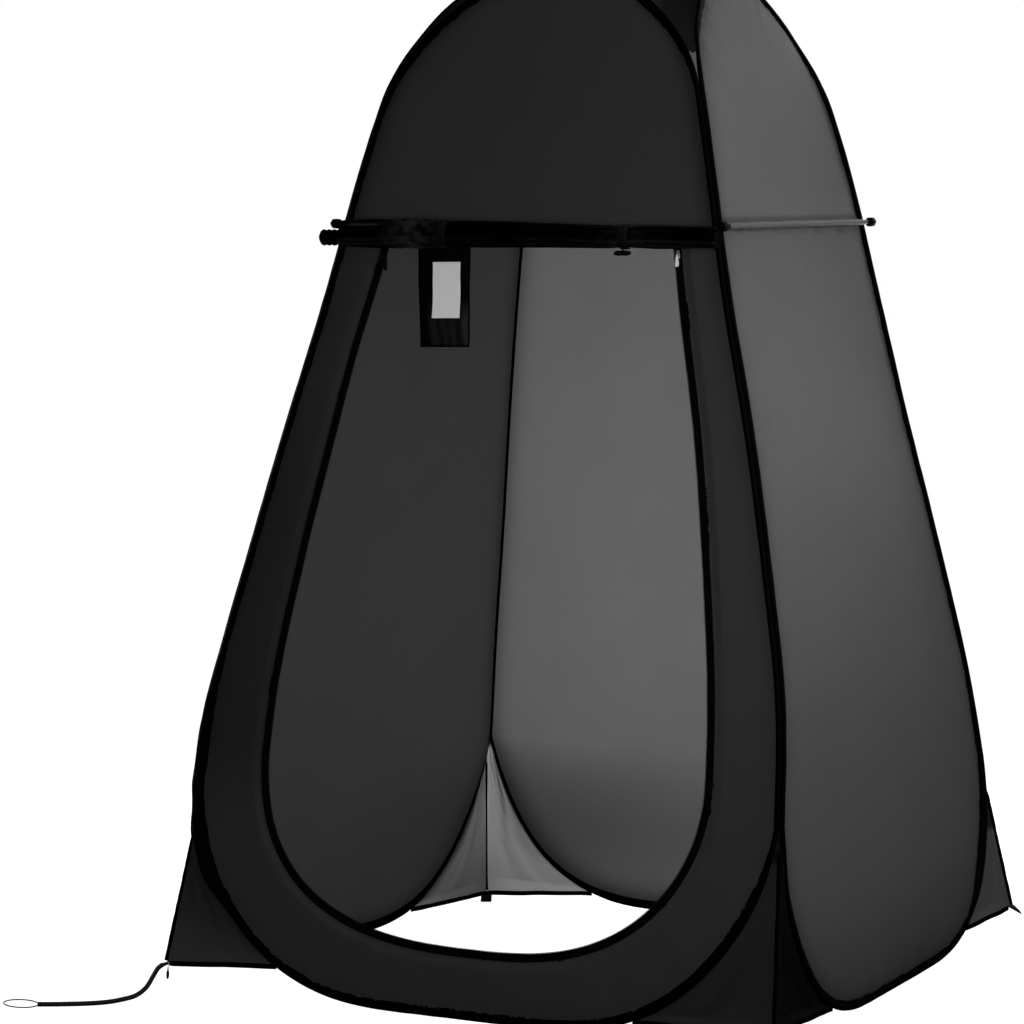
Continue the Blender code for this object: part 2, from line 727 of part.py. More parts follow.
def door(mat, webbing, plastic, silver, binding):
    xl, xr = corner("fl", 1.412).x, corner("fr", 1.403).x
    x0, x1 = xl - 0.0345, xr + 0.0140
    rings = []
    n = 22
    xs = [x0, xl + 0.0080, xl + 0.0136]
    xs += [xs[-1] + (x1 - xs[-1]) * i / (n - 2) for i in range(1, n - 1)]
    for i, x in enumerate(xs):
        c, d, h = roll_axis(x)
        if i in (0, n):
            d, h = d * 0.72, h * 0.72
        rings.append([c + Vector((0, math.cos(2 * math.pi * j / 10) * d,
                                  math.sin(2 * math.pi * j / 10) * h)) for j in range(10)])
    loft("door_roll", rings, mat)
    # two ties that hold the roll up, sewn to the front
    for name, x in (("left", -0.134), ("right", 0.234)):
        c, d, h = roll_axis(x)
        bm = bmesh.new()
        w = 0.010
        y_back = -half(c.z) - 0.0018
        pts = []
        angles = [100 + (360 + 0 - 100 - 100) * i / 9 for i in range(10)]
        for deg in angles:
            t = math.radians(deg)
            pts.append((c.y + math.cos(t) * (d + 0.0006), c.z + math.sin(t) * (h + 0.0006)))
        outer = []
        for deg in angles:
            t = math.radians(deg)
            outer.append((c.y + math.cos(t) * (d + 0.0022), c.z + math.sin(t) * (h + 0.0022)))
        ring = pts + outer[::-1]
        vs = [[bm.verts.new((xx, p[0], p[1])) for p in ring] for xx in (x - w, x + w)]
        m = len(ring)
        for j in range(m):
            k = (j + 1) % m
            bm.faces.new((vs[0][j], vs[0][k], vs[1][k], vs[1][j]))
        q = len(pts)
        for v, flip in ((vs[0], False), (vs[1], True)):
            for j in range(q - 1):
                face = (v[j], v[j + 1], v[m - 2 - j], v[m - 1 - j])
                bm.faces.new(face[::-1] if flip else face)
        new_object("door_tie_" + name, bm, webbing)
    # toggle under the right tie
    c, d, h = roll_axis(0.226)
    z = c.z - h - 0.0078
    p = [Vector((0.226 + dx, c.y, z)) for dx in (-0.016, -0.0145, -0.009, 0.0, 0.009, 0.0145, 0.016)]
    tube("door_toggle", p, [0.0022, 0.0040, 0.0048, 0.0050, 0.0048, 0.0040, 0.0022], plastic, 8)
    # zip sliders, pushed up to the ends of the zip
    line = door_outline()
    for name, i, mat_s in (("left", 0, plastic), ("right", len(line) - 1, silver)):
        p, a, t = line[i]
        nrm = face_normal("front", p.z)
        c = p + nrm * 0.0045 + t * (0.027 if i == 0 else -0.031)
        rings = []
        for dz, w in ((-0.007, 0.0030), (-0.003, 0.0040), (0.004, 0.0045), (0.007, 0.0036)):
            q = c + t * (dz if i == 0 else -dz)
            rings.append([q + a * w + nrm * 0.0022, q - a * w + nrm * 0.0022,
                          q - a * w - nrm * 0.0025, q + a * w - nrm * 0.0025])
        loft("zip_slider_" + name, rings, mat_s)
        # pull hangs straight down in front of the slider
        start = c + nrm * 0.0052 - Z * 0.001
        if i == 0:
            start = start + Vector((0.0125, 0, 0.010))
            path = [start - Z * s for s in (0.0, 0.012, 0.024, 0.034, 0.036)]
            tube("zip_pull_left", path, [0.0016, 0.0020, 0.0030, 0.0034, 0.0020], webbing, 8)
        else:
            side = Vector((1, 0, 0))
            o = Vector((0, -1, 0))
            rings = []
            for s, w in ((0.0, 0.0020), (0.004, 0.0026), (0.018, 0.0040), (0.024, 0.0040), (0.027, 0.0024)):
                q = start - Z * s
                rings.append([q + side * w + o * 0.0008, q - side * w + o * 0.0008,
                              q - side * w - o * 0.0008, q + side * w - o * 0.0008])
            loft("zip_pull_right", rings, silver)


POCKET_X, POCKET_W, POCKET_H = -0.1605, 0.111, 0.236


def pocket(mat, white):
    """A flat pocket that hangs inside from the seam over the door, with a
    blank care tag on it."""
    top = 1.440
    y = -half(top) + 0.0108
    w = POCKET_W / 2
    rings = []
    for r, t in ((0.0, 0.0020), (0.09, 0.0034), (0.45, 0.0042), (0.82, 0.0050), (0.98, 0.0040), (1.0, 0.0024)):
        z = top - r * POCKET_H
        ww = w * (1 - 0.09 * r)
        rings.append([Vector((POCKET_X + ww, y + 0.001, z)), Vector((POCKET_X + ww * 0.85, y + t, z)),
                      Vector((POCKET_X - ww * 0.85, y + t, z)), Vector((POCKET_X - ww, y + 0.001, z)),
                      Vector((POCKET_X - ww, y - 0.001, z)), Vector((POCKET_X - ww * 0.85, y - t, z)),
                      Vector((POCKET_X + ww * 0.85, y - t, z)), Vector((POCKET_X + ww, y - 0.001, z))])
    loft("inner_pocket", rings, mat)
    x = POCKET_X + 0.0080
    rings = []
    for s, dy in ((0.0, 0.0), (0.03, -0.0012), (0.07, -0.0022), (0.104, -0.0030)):
        z = 1.362 - s
        yy = y - 0.0065 + dy
        rings.append([Vector((x - 0.0290, yy - 0.0005, z)), Vector((x + 0.0290, yy - 0.0005, z)),
                      Vector((x + 0.0290, yy + 0.0005, z)), Vector((x - 0.0290, yy + 0.0005, z))])
    loft("care_tag", rings, white)


STRAP_R = 0.0045
STRAP_Z = STRAP_R + 0.0004
# route of the strap: out of the front left corner, down to the ground, forward
# and round to the left
STRAP = (
    (-0.6320, -0.6240, 0.0440), (-0.6335, -0.6380, 0.0395), (-0.6290, -0.6600, 0.0300),
    (-0.6245, -0.6900, 0.0150), (-0.6255, -0.7200, 0.0066), (-0.6310, -0.7480, STRAP_Z),
    (-0.6450, -0.7850, STRAP_Z), (-0.6725, -0.8125, STRAP_Z), (-0.7104, -0.8370, STRAP_Z),
    (-0.7490, -0.8580, STRAP_Z),
)
# thin loop sewn into the strap's end
LOOP_MID, LOOP_A, LOOP_B, LOOP_R = (-0.7900, -0.8540), 0.0375, 0.0270, 0.0012


def smooth_route(points, spacing):
    """Points every so often along a smooth curve through the given ones."""
    pts = [Vector(p) for p in points]
    dense = []
    n = len(pts)
    for i in range(n - 1):
        p0, p1, p2, p3 = pts[max(0, i - 1)], pts[i], pts[i + 1], pts[min(n - 1, i + 2)]
        for j in range(40):
            t = j / 40
            dense.append(0.5 * ((2 * p1) + (p2 - p0) * t + (2 * p0 - 5 * p1 + 4 * p2 - p3) * t * t
                                + (3 * p1 - p0 - 3 * p2 + p3) * t ** 3))
    dense.append(pts[-1])
    d = [0.0]
    for a, b in zip(dense, dense[1:]):
        d.append(d[-1] + (b - a).length)
    count = max(2, round(d[-1] / spacing))
    out = []
    j = 0
    for i in range(count + 1):
        s = d[-1] * i / count
        while j < len(d) - 2 and d[j + 1] < s:
            j += 1
        t = (s - d[j]) / max(1e-12, d[j + 1] - d[j])
        out.append(dense[j].lerp(dense[j + 1], t))
    return out


def cord(name, points, radius, mat, resolution=2):
    cu = bpy.data.curves.new(name, "CURVE")
    cu.dimensions = "3D"
    sp = cu.splines.new("POLY")
    sp.points.add(len(points) - 1)
    for p, q in zip(sp.points, points):
        p.co = (*q, 1.0)
    cu.bevel_depth = radius
    cu.bevel_resolution = resolution
    cu.use_fill_caps = True
    cu.materials.append(mat)
    ob = bpy.data.objects.new(name, cu)
    bpy.context.scene.collection.objects.link(ob)
    return ob


def strap(webbing):
    cord("corner_strap", smooth_route(STRAP, 2.4 * STRAP_R * 2), STRAP_R, webbing)
    e1 = Vector((-0.966, 0.260, 0)).normalized()
    e2 = Vector((e1.y, -e1.x, 0))
    mid = Vector((*LOOP_MID, LOOP_R + 0.0002))
    rings = []
    n = 24
    for i in range(n):
        t = 2 * math.pi * i / n
        c = mid + e1 * (LOOP_A * math.cos(t)) + e2 * (LOOP_B * math.sin(t))
        way = (e2 * (LOOP_B * math.cos(t)) - e1 * (LOOP_A * math.sin(t))).normalized()
        rad = way.cross(Z)
        rings.append([c + (rad * math.cos(a) + Z * math.sin(a)) * LOOP_R
                      for a in (2 * math.pi * j / 6 for j in range(6))])
    loft("strap_loop", rings, webbing, closed=True)


build()
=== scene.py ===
"""Looks of the pop-up shower tent: cloth, sleeves, tapes, zip, rolled door,
poles, pocket and strap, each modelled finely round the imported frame.

Metres, +Z up, origin on the ground under the middle of the tent. The doorway
faces -Y. Corners: fl, fr, br, bl.
"""

import math

import bpy
import numpy as np
from mathutils import Matrix, Vector

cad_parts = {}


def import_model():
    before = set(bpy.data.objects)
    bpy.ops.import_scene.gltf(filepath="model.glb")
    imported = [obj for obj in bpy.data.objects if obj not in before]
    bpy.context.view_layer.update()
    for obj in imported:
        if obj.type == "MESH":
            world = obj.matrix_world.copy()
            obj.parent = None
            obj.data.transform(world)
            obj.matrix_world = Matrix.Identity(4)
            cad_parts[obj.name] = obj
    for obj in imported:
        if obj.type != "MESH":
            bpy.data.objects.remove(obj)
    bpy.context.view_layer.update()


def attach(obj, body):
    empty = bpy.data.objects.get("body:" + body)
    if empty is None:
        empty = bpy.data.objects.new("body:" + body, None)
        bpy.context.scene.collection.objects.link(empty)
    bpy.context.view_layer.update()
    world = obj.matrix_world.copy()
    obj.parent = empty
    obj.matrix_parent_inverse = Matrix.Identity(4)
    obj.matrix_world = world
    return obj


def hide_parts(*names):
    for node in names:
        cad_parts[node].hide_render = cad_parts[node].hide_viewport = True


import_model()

# ------------------------------------------------------------ the tent's form
# The same stations as the part, so that every piece lies where its node lies.

TOP = 1.905
SEAM_LO = {"fl": 0.385, "fr": 0.390, "br": 0.364, "bl": 0.333}
SEAM_HI = 1.655
HALF = (
    (0.000, 0.601), (0.170, 0.595), (0.333, 0.581), (0.576, 0.552),
    (0.816, 0.504), (1.056, 0.460), (1.296, 0.408), (1.536, 0.357),
    (1.680, 0.322), (1.800, 0.286), (1.905, 0.248),
)
LEAN_Z = (0.0, 0.20, 0.36, 0.60, 0.82, 1.056, 1.30, 1.536, 1.80)
LEAN = {
    "fl": (0.0, 0.0060, -0.0015, 0.0005, -0.0018, -0.0155, -0.0200, -0.0185, -0.0200),
    "fr": (0.0, 0.0060, 0.0185, 0.0385, 0.0400, 0.0315, 0.0180, 0.0135, 0.0110),
    "br": (0.0, -0.0073, -0.0114, -0.0174, -0.0128, -0.0173, -0.0060, 0.0025, 0.0030),
    "bl": (0.0, -0.0085, -0.0150, -0.0155, -0.0110, -0.0060, 0.0, 0.0010, 0.0010),
}
TUCK = {"bl": (0.087, 0.219)}
TURN = {"fl": 0.17, "fr": 0.17, "br": 0.17, "bl": 0.31}
ROD_Z = {"fl": 1.436, "fr": 1.418, "br": 1.446, "bl": 1.436}
GROUND = {
    "fl": (-0.628, -0.618, 0.046),
    "fr": (0.600, -0.604, 0.040),
    "br": (0.622, 0.624, 0.042),
    "bl": (-0.500, 0.436, 0.0080),
}
SLEEVE, SLEEVE_T, GAP = 0.018, 0.007, 0.0004
SLIM, STOUT = 0.24, {"fl": 0.30, "fr": 0.30, "br": 0.30, "bl": -0.45}
WAIST = {"fl": 0.0, "fr": 0.0, "br": 0.0, "bl": 0.42}
REST_HALF, ARCH_RISE, ARCH_FLAT = 0.11, 0.0875, 0.170
N_LOW, N_SEAM, N_HIGH, N_ARCH = 10, 9, 2, 7
DOOR_LOW, DOOR_MID, DOOR_X = 0.120, 0.450, 0.035
DOOR_LEFT, DOOR_RIGHT, DOOR_TOP = -0.772, 0.776, 1.398
ZIP_TAPE = 0.018
FACES = {"front": ("fl", "fr"), "right": ("fr", "br"), "back": ("br", "bl"), "left": ("bl", "fl")}
SIGN = {"fl": (-1, -1), "fr": (1, -1), "br": (1, 1), "bl": (-1, 1)}
OUT = {"front": (0, -1, 0), "right": (1, 0, 0), "back": (0, 1, 0), "left": (-1, 0, 0)}
LOW_SHAPE = {("front", -1): (2.90, 1.35), ("front", 1): (2.75, 1.34), ("right", -1): (3.09, 1.10),
             ("right", 1): (3.59, 1.55), ("back", 1): (2.59, 1.18), ("left", -1): (2.77, 1.82)}
LOW_DEFAULT = (2.65, 1.25)

K = 24                 # fine samples to each sample of the part
G = 20                 # fine samples along half of the flat stretch at the ground
T = 6                  # and along half of the crown
ZUP = np.array((0.0, 0.0, 1.0))

# ---------------------------------------------------------------- small maths


def smooth(t):
    t = np.clip(t, 0.0, 1.0)
    return t * t * (3 - 2 * t)


def unit(v):
    v = np.asarray(v, float)
    return v / np.maximum(1e-12, np.linalg.norm(v, axis=-1, keepdims=True))


def dot(a, b):
    return (np.asarray(a) * np.asarray(b)).sum(-1, keepdims=True)


def curve(stations, z, flat_start=False):
    xs = np.array([s[0] for s in stations], float)
    ys = np.array([s[1] for s in stations], float)
    m = np.empty(len(xs))
    m[0] = 0.0 if flat_start else (ys[1] - ys[0]) / (xs[1] - xs[0])
    m[-1] = (ys[-1] - ys[-2]) / (xs[-1] - xs[-2])
    m[1:-1] = (ys[2:] - ys[:-2]) / (xs[2:] - xs[:-2])
    z = np.asarray(z, float)
    i = np.clip(np.searchsorted(xs, z, side="right") - 1, 0, len(xs) - 2)
    h = xs[i + 1] - xs[i]
    t = (z - xs[i]) / h
    v = (ys[i] * (1 + 2 * t) * (1 - t) ** 2 + m[i] * h * t * (1 - t) ** 2
         + ys[i + 1] * t * t * (3 - 2 * t) + m[i + 1] * h * t * t * (t - 1))
    v = np.where(z <= xs[0], ys[0] + m[0] * (z - xs[0]), v)
    return np.where(z >= xs[-1], ys[-1] + m[-1] * (z - xs[-1]), v)


def half(z):
    return curve(HALF, z, True)


def lean(k, z):
    return curve(tuple(zip(LEAN_Z, LEAN[k])), np.clip(z, LEAN_Z[0], LEAN_Z[-1]), True)


def corner(k, z):
    sx, sy = SIGN[k]
    dx, dy = TUCK.get(k, (0.0, 0.0))
    z = np.asarray(z, float)
    w = smooth(1 - z / SEAM_LO[k])
    return np.stack([sx * (half(z) + lean(k, z) - dx * w), sy * (half(z) - dy * w), z], -1)


def on_face(f, u, z):
    a, b = FACES[f]
    w = 0.5 * (1 + np.asarray(u, float))[..., None]
    return corner(a, z) * (1 - w) + corner(b, z) * w


def outward(f):
    return np.array(OUT[f], float)


def across(f):
    o = outward(f)
    return np.array((-o[1], o[0], 0.0))


def face_normal(f, z):
    z = np.asarray(z, float)
    e = 0.004
    slope = (half(z + e) - half(z - e)) / (2 * e) * smooth((z - 0.02) / 0.10)
    return unit(outward(f) - slope[..., None] * ZUP)


def resample(u, z, count, stretch=0.5):
    d = np.concatenate([[0.0], np.cumsum(np.hypot(np.diff(u) * stretch, np.diff(z)))])
    s = np.linspace(0, d[-1], count + 1)
    return np.interp(s, d, u), np.interp(s, d, z)


def lengths(P):
    """Distance along a line of points."""
    return np.concatenate([[0.0], np.cumsum(np.linalg.norm(np.diff(P, axis=0), axis=1))])


def along(P, count=None, at=None):
    """Points evenly spaced along a line, or at the given distances."""
    d = lengths(P)
    s = np.linspace(0, d[-1], count) if at is None else np.asarray(at, float)
    return np.stack([np.interp(s, d, P[:, c]) for c in range(3)], -1)


def tangents(P, closed=False):
    if closed:
        return unit(np.roll(P, -1, 0) - np.roll(P, 1, 0))
    t = np.empty_like(P)
    t[1:-1] = P[2:] - P[:-2]
    t[0], t[-1] = P[1] - P[0], P[-1] - P[-2]
    return unit(t)


def lattice(seed, size=1024):
    return np.random.RandomState(seed).uniform(-1, 1, size)


def noise1(x, seed=1):
    """Smooth noise, from -1 to 1, one bump or dip to each unit of x."""
    x = np.asarray(x, float)
    g = lattice(seed)
    i = np.floor(x).astype(int)
    t = x - i
    t = t * t * (3 - 2 * t)
    return g[i % 1024] * (1 - t) + g[(i + 1) % 1024] * t


def noise2(x, y, seed=1):
    x, y = np.broadcast_arrays(np.asarray(x, float), np.asarray(y, float))
    g = lattice(seed, 65536).reshape(256, 256)
    i, j = np.floor(x).astype(int), np.floor(y).astype(int)
    s, t = x - i, y - j
    s, t = s * s * (3 - 2 * s), t * t * (3 - 2 * t)
    a, b = i % 256, (i + 1) % 256
    c, d = j % 256, (j + 1) % 256
    return (g[a, c] * (1 - s) + g[b, c] * s) * (1 - t) + (g[a, d] * (1 - s) + g[b, d] * s) * t


def layered(x, y, seed=1, octaves=3):
    v, a = 0.0, 1.0
    for o in range(octaves):
        v = v + a * noise2(x * 2 ** o + 17.3 * o, y * 2 ** o + 5.1 * o, seed + o)
        a *= 0.5
    return v / (2 - 0.5 ** (octaves - 1))


# ---------------------------------------------------------------------- hoops


def half_hoop(f, s):
    """(u, z) from the middle of the ground stretch up to the crown, u >= 0."""
    k = FACES[f][0 if s < 0 else 1]
    n, m = LOW_SHAPE.get((f, s), LOW_DEFAULT)
    base, lo = SLEEVE / 2, SEAM_LO[k]
    flat_u = REST_HALF / half(base)
    t = 0.5 * math.pi * (1 - np.linspace(0, 1, 6001))
    u = flat_u + (1 - flat_u) * np.clip(np.cos(t), 0, 1) ** (2 / n)
    z = base + (lo - base) * (1 - np.sin(t) ** (2 / m))
    u[-1], z[-1] = 1.0, lo
    lu, lz = resample(u, z, N_LOW * K)
    rod = ROD_Z[k]
    z1 = np.linspace(lo, rod, N_SEAM * K + 1)[1:]
    z2 = np.linspace(rod, SEAM_HI, N_HIGH * K + 1)[1:]
    x0 = half(SEAM_HI)
    c = np.array(((x0, SEAM_HI), (x0 - 0.24 * ARCH_RISE, SEAM_HI + ARCH_RISE),
                  (ARCH_FLAT, TOP), (0.0, TOP)))
    t = np.linspace(0, 1, 6001)[:, None]
    b = (1 - t) ** 3 * c[0] + 3 * t * (1 - t) ** 2 * c[1] + 3 * t * t * (1 - t) * c[2] + t ** 3 * c[3]
    x, z = b[:, 0], b[:, 1]
    keep = x > 0.03
    au, az = resample(np.minimum(1.0, x[keep] / half(z[keep])), z[keep], N_ARCH * K)
    tx = np.linspace(0.03, 0.0, T + 1)[1:]
    tz = np.interp(tx, x[::-1], z[::-1])
    gu = np.linspace(0, flat_u, G + 1)[:-1]
    u = np.concatenate([gu, lu, np.ones(len(z1) + len(z2)), au[1:], tx / half(tz)])
    z = np.concatenate([np.full(G, base), lz, z1, z2, az[1:], tz])
    return u, z


I_SEAM = N_LOW
I_ROD = N_LOW + N_SEAM
I_HIGH = I_ROD + N_HIGH
I_TOP = I_HIGH + N_ARCH
LAST = G + I_TOP * K + T          # fine sample at the crown's middle


def fine(i):
    """Fine sample of sample i of the part."""
    return int(round(G + i * K))


def sewn(k, z):
    """1 up the corner seam, where two sleeves lie flat against each other."""
    return smooth((z - (SEAM_LO[k] - TURN[k])) / TURN[k]) * smooth((SEAM_HI + 0.15 - z) / 0.15)


def turned(k, z):
    """1 where the sleeve stands out along the corner's diagonal."""
    lo, span = {"fl": (0.10, 0.15), "br": (0.02, 0.13)}.get(k, (SEAM_LO[k] - TURN[k], TURN[k]))
    return smooth((z - lo) / span) * smooth((SEAM_HI + 0.15 - z) / 0.15)


def wider(k, z):
    """The sleeves spread below their seam: outwards and inwards."""
    out = (0.009 * smooth((0.66 - z) / 0.20) + 0.006 * smooth((0.36 - z) / 0.08)) * smooth((z - 0.14) / 0.10) if k == "fl" else 0.0 * z
    inn = 0.003 * smooth((0.50 - z) / 0.20) * smooth((z - 0.02) / 0.08) if k == "br" else 0.0 * z
    return out, inn


JOINED = {}            # how far each frame's sleeve is sewn to its neighbour


def hoop_frames(f):
    """Middle, thickness direction, outward edge direction, tangent, half width
    and half thickness, from the ground's middle up the right half, then down
    the left half."""
    ru, rz = half_hoop(f, 1)
    lu, lz = half_hoop(f, -1)
    u = np.concatenate([ru, -lu[::-1][1:-1]])
    z = np.concatenate([rz, lz[::-1][1:-1]])
    s = np.concatenate([np.ones(len(ru)), -np.ones(len(lu) - 2)])
    P = on_face(f, u, z)
    t = tangents(P, True)
    ka, kb = FACES[f]
    w = np.where(s > 0, sewn(kb, z), sewn(ka, z))
    a = math.radians(45) * np.where(s > 0, turned(kb, z), turned(ka, z))
    n = face_normal(f, z) * np.cos(a)[:, None] - across(f) * (s * np.sin(a))[:, None]
    low = z < SLEEVE / 2 + 1e-6
    t[low] = across(f)
    n[low] = outward(f)
    n = unit(n - t * dot(t, n))
    e = unit(np.cross(t, n))
    v = w ** 0.4
    waist = np.where(s > 0, WAIST[kb], WAIST[ka]) * 4 * v * (1 - v) * (z < 1)
    h = SLEEVE / 2 * (1 - SLIM * w - waist)
    q = SLEEVE_T / 2 * (1 + np.where(s > 0, STOUT[kb], STOUT[ka]) * w)
    JOINED[f] = w
    mid = P + n * (w * (q + GAP / 2))[:, None]
    (oa, ia), (ob_, ib) = wider(ka, z), wider(kb, z)
    out, inn = np.where(s > 0, ob_, oa), np.where(s > 0, ib, ia)
    mid = mid + e * ((out - inn) / 2)[:, None]
    h = h + (out + inn) / 2
    return mid, n, e, t, h, q


FRAMES = {f: hoop_frames(f) for f in FACES}
LOOP = len(FRAMES["front"][0])


def side(f, s, i0=0, i1=LAST):
    """Frames i0 to i1 of one half of a hoop: s = 1 right, -1 left."""
    i = np.arange(i0, i1 + 1) if i1 >= i0 else np.arange(i0, i1 - 1, -1)
    j = i if s > 0 else (-i) % LOOP
    return tuple(v[j] for v in FRAMES[f])


def inner_edge(f, s, i0=0, i1=LAST, tuck=0.0):
    mid, n, e, t, h, q = side(f, s, i0, i1)
    return mid - e * (h + 0.0010 - tuck)[:, None]


def outer_edge(f, s, i0=0, i1=LAST, tuck=0.0):
    mid, n, e, t, h, q = side(f, s, i0, i1)
    return mid + e * (h + 0.0010 - tuck)[:, None]


# ------------------------------------------------------------------- building


class Shape:
    """Collects grids, fans and boxes into one mesh, with UVs in metres."""

    def __init__(self):
        self.co, self.n = [], 0
        self.faces, self.uv, self.mat = [], [], []

    def points(self, P):
        P = np.asarray(P, float).reshape(-1, 3)
        self.co.append(P)
        self.n += len(P)
        return self.n - len(P)

    def grid(self, P, U=None, V=None, closed_u=False, closed_v=False, mat=0, base=None):
        n, m = P.shape[:2]
        start = self.points(P) if base is None else base
        I, J = np.meshgrid(np.arange(n if closed_u else n - 1),
                           np.arange(m if closed_v else m - 1), indexing="ij")
        I, J = I.ravel(), J.ravel()
        cells = ((I, J), (I, J + 1), (I + 1, J + 1), (I + 1, J))
        q = np.stack([(i % n) * m + (j % m) for i, j in cells], 1) + start
        if U is None:
            U = np.arange(n + 1) * 0.01
        if V is None:
            V = np.arange(m + 1) * 0.01
        U, V = np.asarray(U, float), np.asarray(V, float)
        us = [U[i, j] if U.ndim == 2 else U[i] for i, j in cells]
        vs = [V[i, j] if V.ndim == 2 else V[j] for i, j in cells]
        uv = np.stack([np.stack([a, b], -1) for a, b in zip(us, vs)], 1)
        self.faces.append(q)
        self.uv.append(uv)
        self.mat.append(np.full(len(q), mat))
        return start

    def fan(self, ring, centre, mat=0, flip=False):
        """Closes a ring of vertex numbers with a fan."""
        c = self.points([centre])
        ring = np.asarray(ring)
        nxt = np.roll(ring, -1)
        t = np.stack([ring, nxt, np.full(len(ring), c)], 1)
        if flip:
            t = t[:, ::-1]
        self.faces.append(t)
        self.uv.append(np.zeros((len(t), 3, 2)))
        self.mat.append(np.full(len(t), mat))

    def tube(self, P, A, B, section, U=None, V=None, caps=True, closed=False, mat=0, dome=0.0):
        """A closed section swept along P; A and B are its two directions.
        section is (m, 2) or (n, m, 2)."""
        section = np.asarray(section, float)
        if section.ndim == 2:
            section = np.broadcast_to(section, (len(P),) + section.shape)
        R = P[:, None] + A[:, None] * section[..., :1] + B[:, None] * section[..., 1:]
        m = R.shape[1]
        if U is None:
            d = lengths(P)
            U = np.append(d, d[-1] + (np.linalg.norm(P[0] - P[-1]) if closed else 0.01))
        if V is None:
            k = section[len(P) // 2]
            k = np.concatenate([k, k[:1]])
            V = np.concatenate([[0], np.cumsum(np.linalg.norm(np.diff(k, axis=0), axis=1))])
        start = self.grid(R, U, V, closed_u=closed, closed_v=True, mat=mat)
        if caps and not closed:
            t = tangents(P)
            self.fan(start + np.arange(m), R[0].mean(0) - t[0] * dome, mat, flip=False)
            self.fan(start + (len(P) - 1) * m + np.arange(m), R[-1].mean(0) + t[-1] * dome, mat, flip=True)
        return start

    def boxes(self, C, X, Y, Z, size, mat=0, taper=1.0):
        """Small blocks with chamfered long edges at the points C."""
        a, b, c = size
        ring = [(-1, -0.6), (-0.6, -1), (0.6, -1), (1, -0.6), (1, 0.6), (0.6, 1), (-0.6, 1), (-1, 0.6)]
        P = []
        for s, r in ((-1.0, taper * 0.7), (-0.8, taper), (0.8, 1.0), (1.0, 0.7)):
            for y, z in ring:
                P.append(C + X * (s * a / 2) + Y * (y * b / 2 * r) + Z * (z * c / 2 * r))
        P = np.stack(P, 1)                       # (count, 32, 3)
        start = self.points(P)
        base = start + np.arange(len(C))[:, None] * 32
        quads = []
        for k in range(3):
            for j in range(8):
                n = (j + 1) % 8
                quads.append((k * 8 + j, k * 8 + n, k * 8 + 8 + n, k * 8 + 8 + j))
        for k, order in ((0, 1), (3, -1)):
            r = [k * 8 + j for j in range(8)][::-1 if order > 0 else 1]
            quads += [(r[0], r[1], r[2], r[3]), (r[0], r[3], r[4], r[7]), (r[4], r[5], r[6], r[7])]
        q = (base[:, None] + np.array(quads)[None]).reshape(-1, 4)
        self.faces.append(q)
        self.uv.append(np.zeros((len(q), 4, 2)))
        self.mat.append(np.full(len(q), mat))

    def make(self, name, mats, nodes=(), slot=None, facing=None, closed=True, sharp=40):
        me = bpy.data.meshes.new(name)
        co = np.concatenate(self.co)
        me.vertices.add(len(co))
        me.vertices.foreach_set("co", co.astype(np.float32).ravel())
        loops = np.concatenate([f.ravel() for f in self.faces])
        sizes = np.concatenate([np.full(len(f), f.shape[1]) for f in self.faces])
        start = np.concatenate([[0], np.cumsum(sizes)[:-1]])
        me.loops.add(len(loops))
        me.loops.foreach_set("vertex_index", loops.astype(np.int32))
        me.polygons.add(len(sizes))
        me.polygons.foreach_set("loop_start", start.astype(np.int32))
        me.polygons.foreach_set("material_index", np.concatenate(self.mat).astype(np.int32))
        me.update(calc_edges=True)
        layer = me.uv_layers.new(name="metres")
        uv = np.concatenate([u.reshape(-1, 2) for u in self.uv])
        layer.data.foreach_set("uv", uv.astype(np.float32).ravel())
        me.validate()
        # faces point out of a closed piece, and along `facing` on a sheet
        tri = np.concatenate([f[:, :3] for f in self.faces] + [f[:, [0, 2, 3]] for f in self.faces if f.shape[1] == 4])
        a, b, c = co[tri[:, 0]], co[tri[:, 1]], co[tri[:, 2]]
        if facing is not None:
            turn = (np.cross(b - a, c - a) @ np.asarray(facing, float)).sum() < 0
        else:
            o = co.mean(0)
            turn = ((a - o) * np.cross(b - o, c - o)).sum() < 0
        if turn:
            me.flip_normals()
        me.shade_smooth()
        if sharp:
            me.set_sharp_from_angle(angle=math.radians(sharp))
        ob = bpy.data.objects.new(name, me)
        for m in mats if isinstance(mats, (list, tuple)) else [mats]:
            me.materials.append(m)
        bpy.context.scene.collection.objects.link(ob)
        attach(ob, "root")
        if nodes:
            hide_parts(*([nodes] if isinstance(nodes, str) else nodes))
        ob["area"] = float(np.linalg.norm(np.cross(b - a, c - a), axis=1).sum() / 2)
        return ob


# ------------------------------------------------------------------ materials


def nodes_of(m):
    m.use_nodes = True
    t = m.node_tree
    t.nodes.clear()
    return t


def link(t, a, b):
    t.links.new(a, b)


def math_node(t, op, a, b=None, c=None):
    n = t.nodes.new("ShaderNodeMath")
    n.operation = op
    for i, v in enumerate((a, b, c)):
        if v is None:
            continue
        if isinstance(v, (int, float)):
            n.inputs[i].default_value = v
        else:
            link(t, v, n.inputs[i])
    return n.outputs[0]


def noise_node(t, vec, scale, detail=3.0, rough=0.55, distortion=0.0):
    n = t.nodes.new("ShaderNodeTexNoise")
    n.inputs["Scale"].default_value = scale
    n.inputs["Detail"].default_value = detail
    n.inputs["Roughness"].default_value = rough
    n.inputs["Distortion"].default_value = distortion
    link(t, vec, n.inputs["Vector"])
    return n.outputs["Fac"]


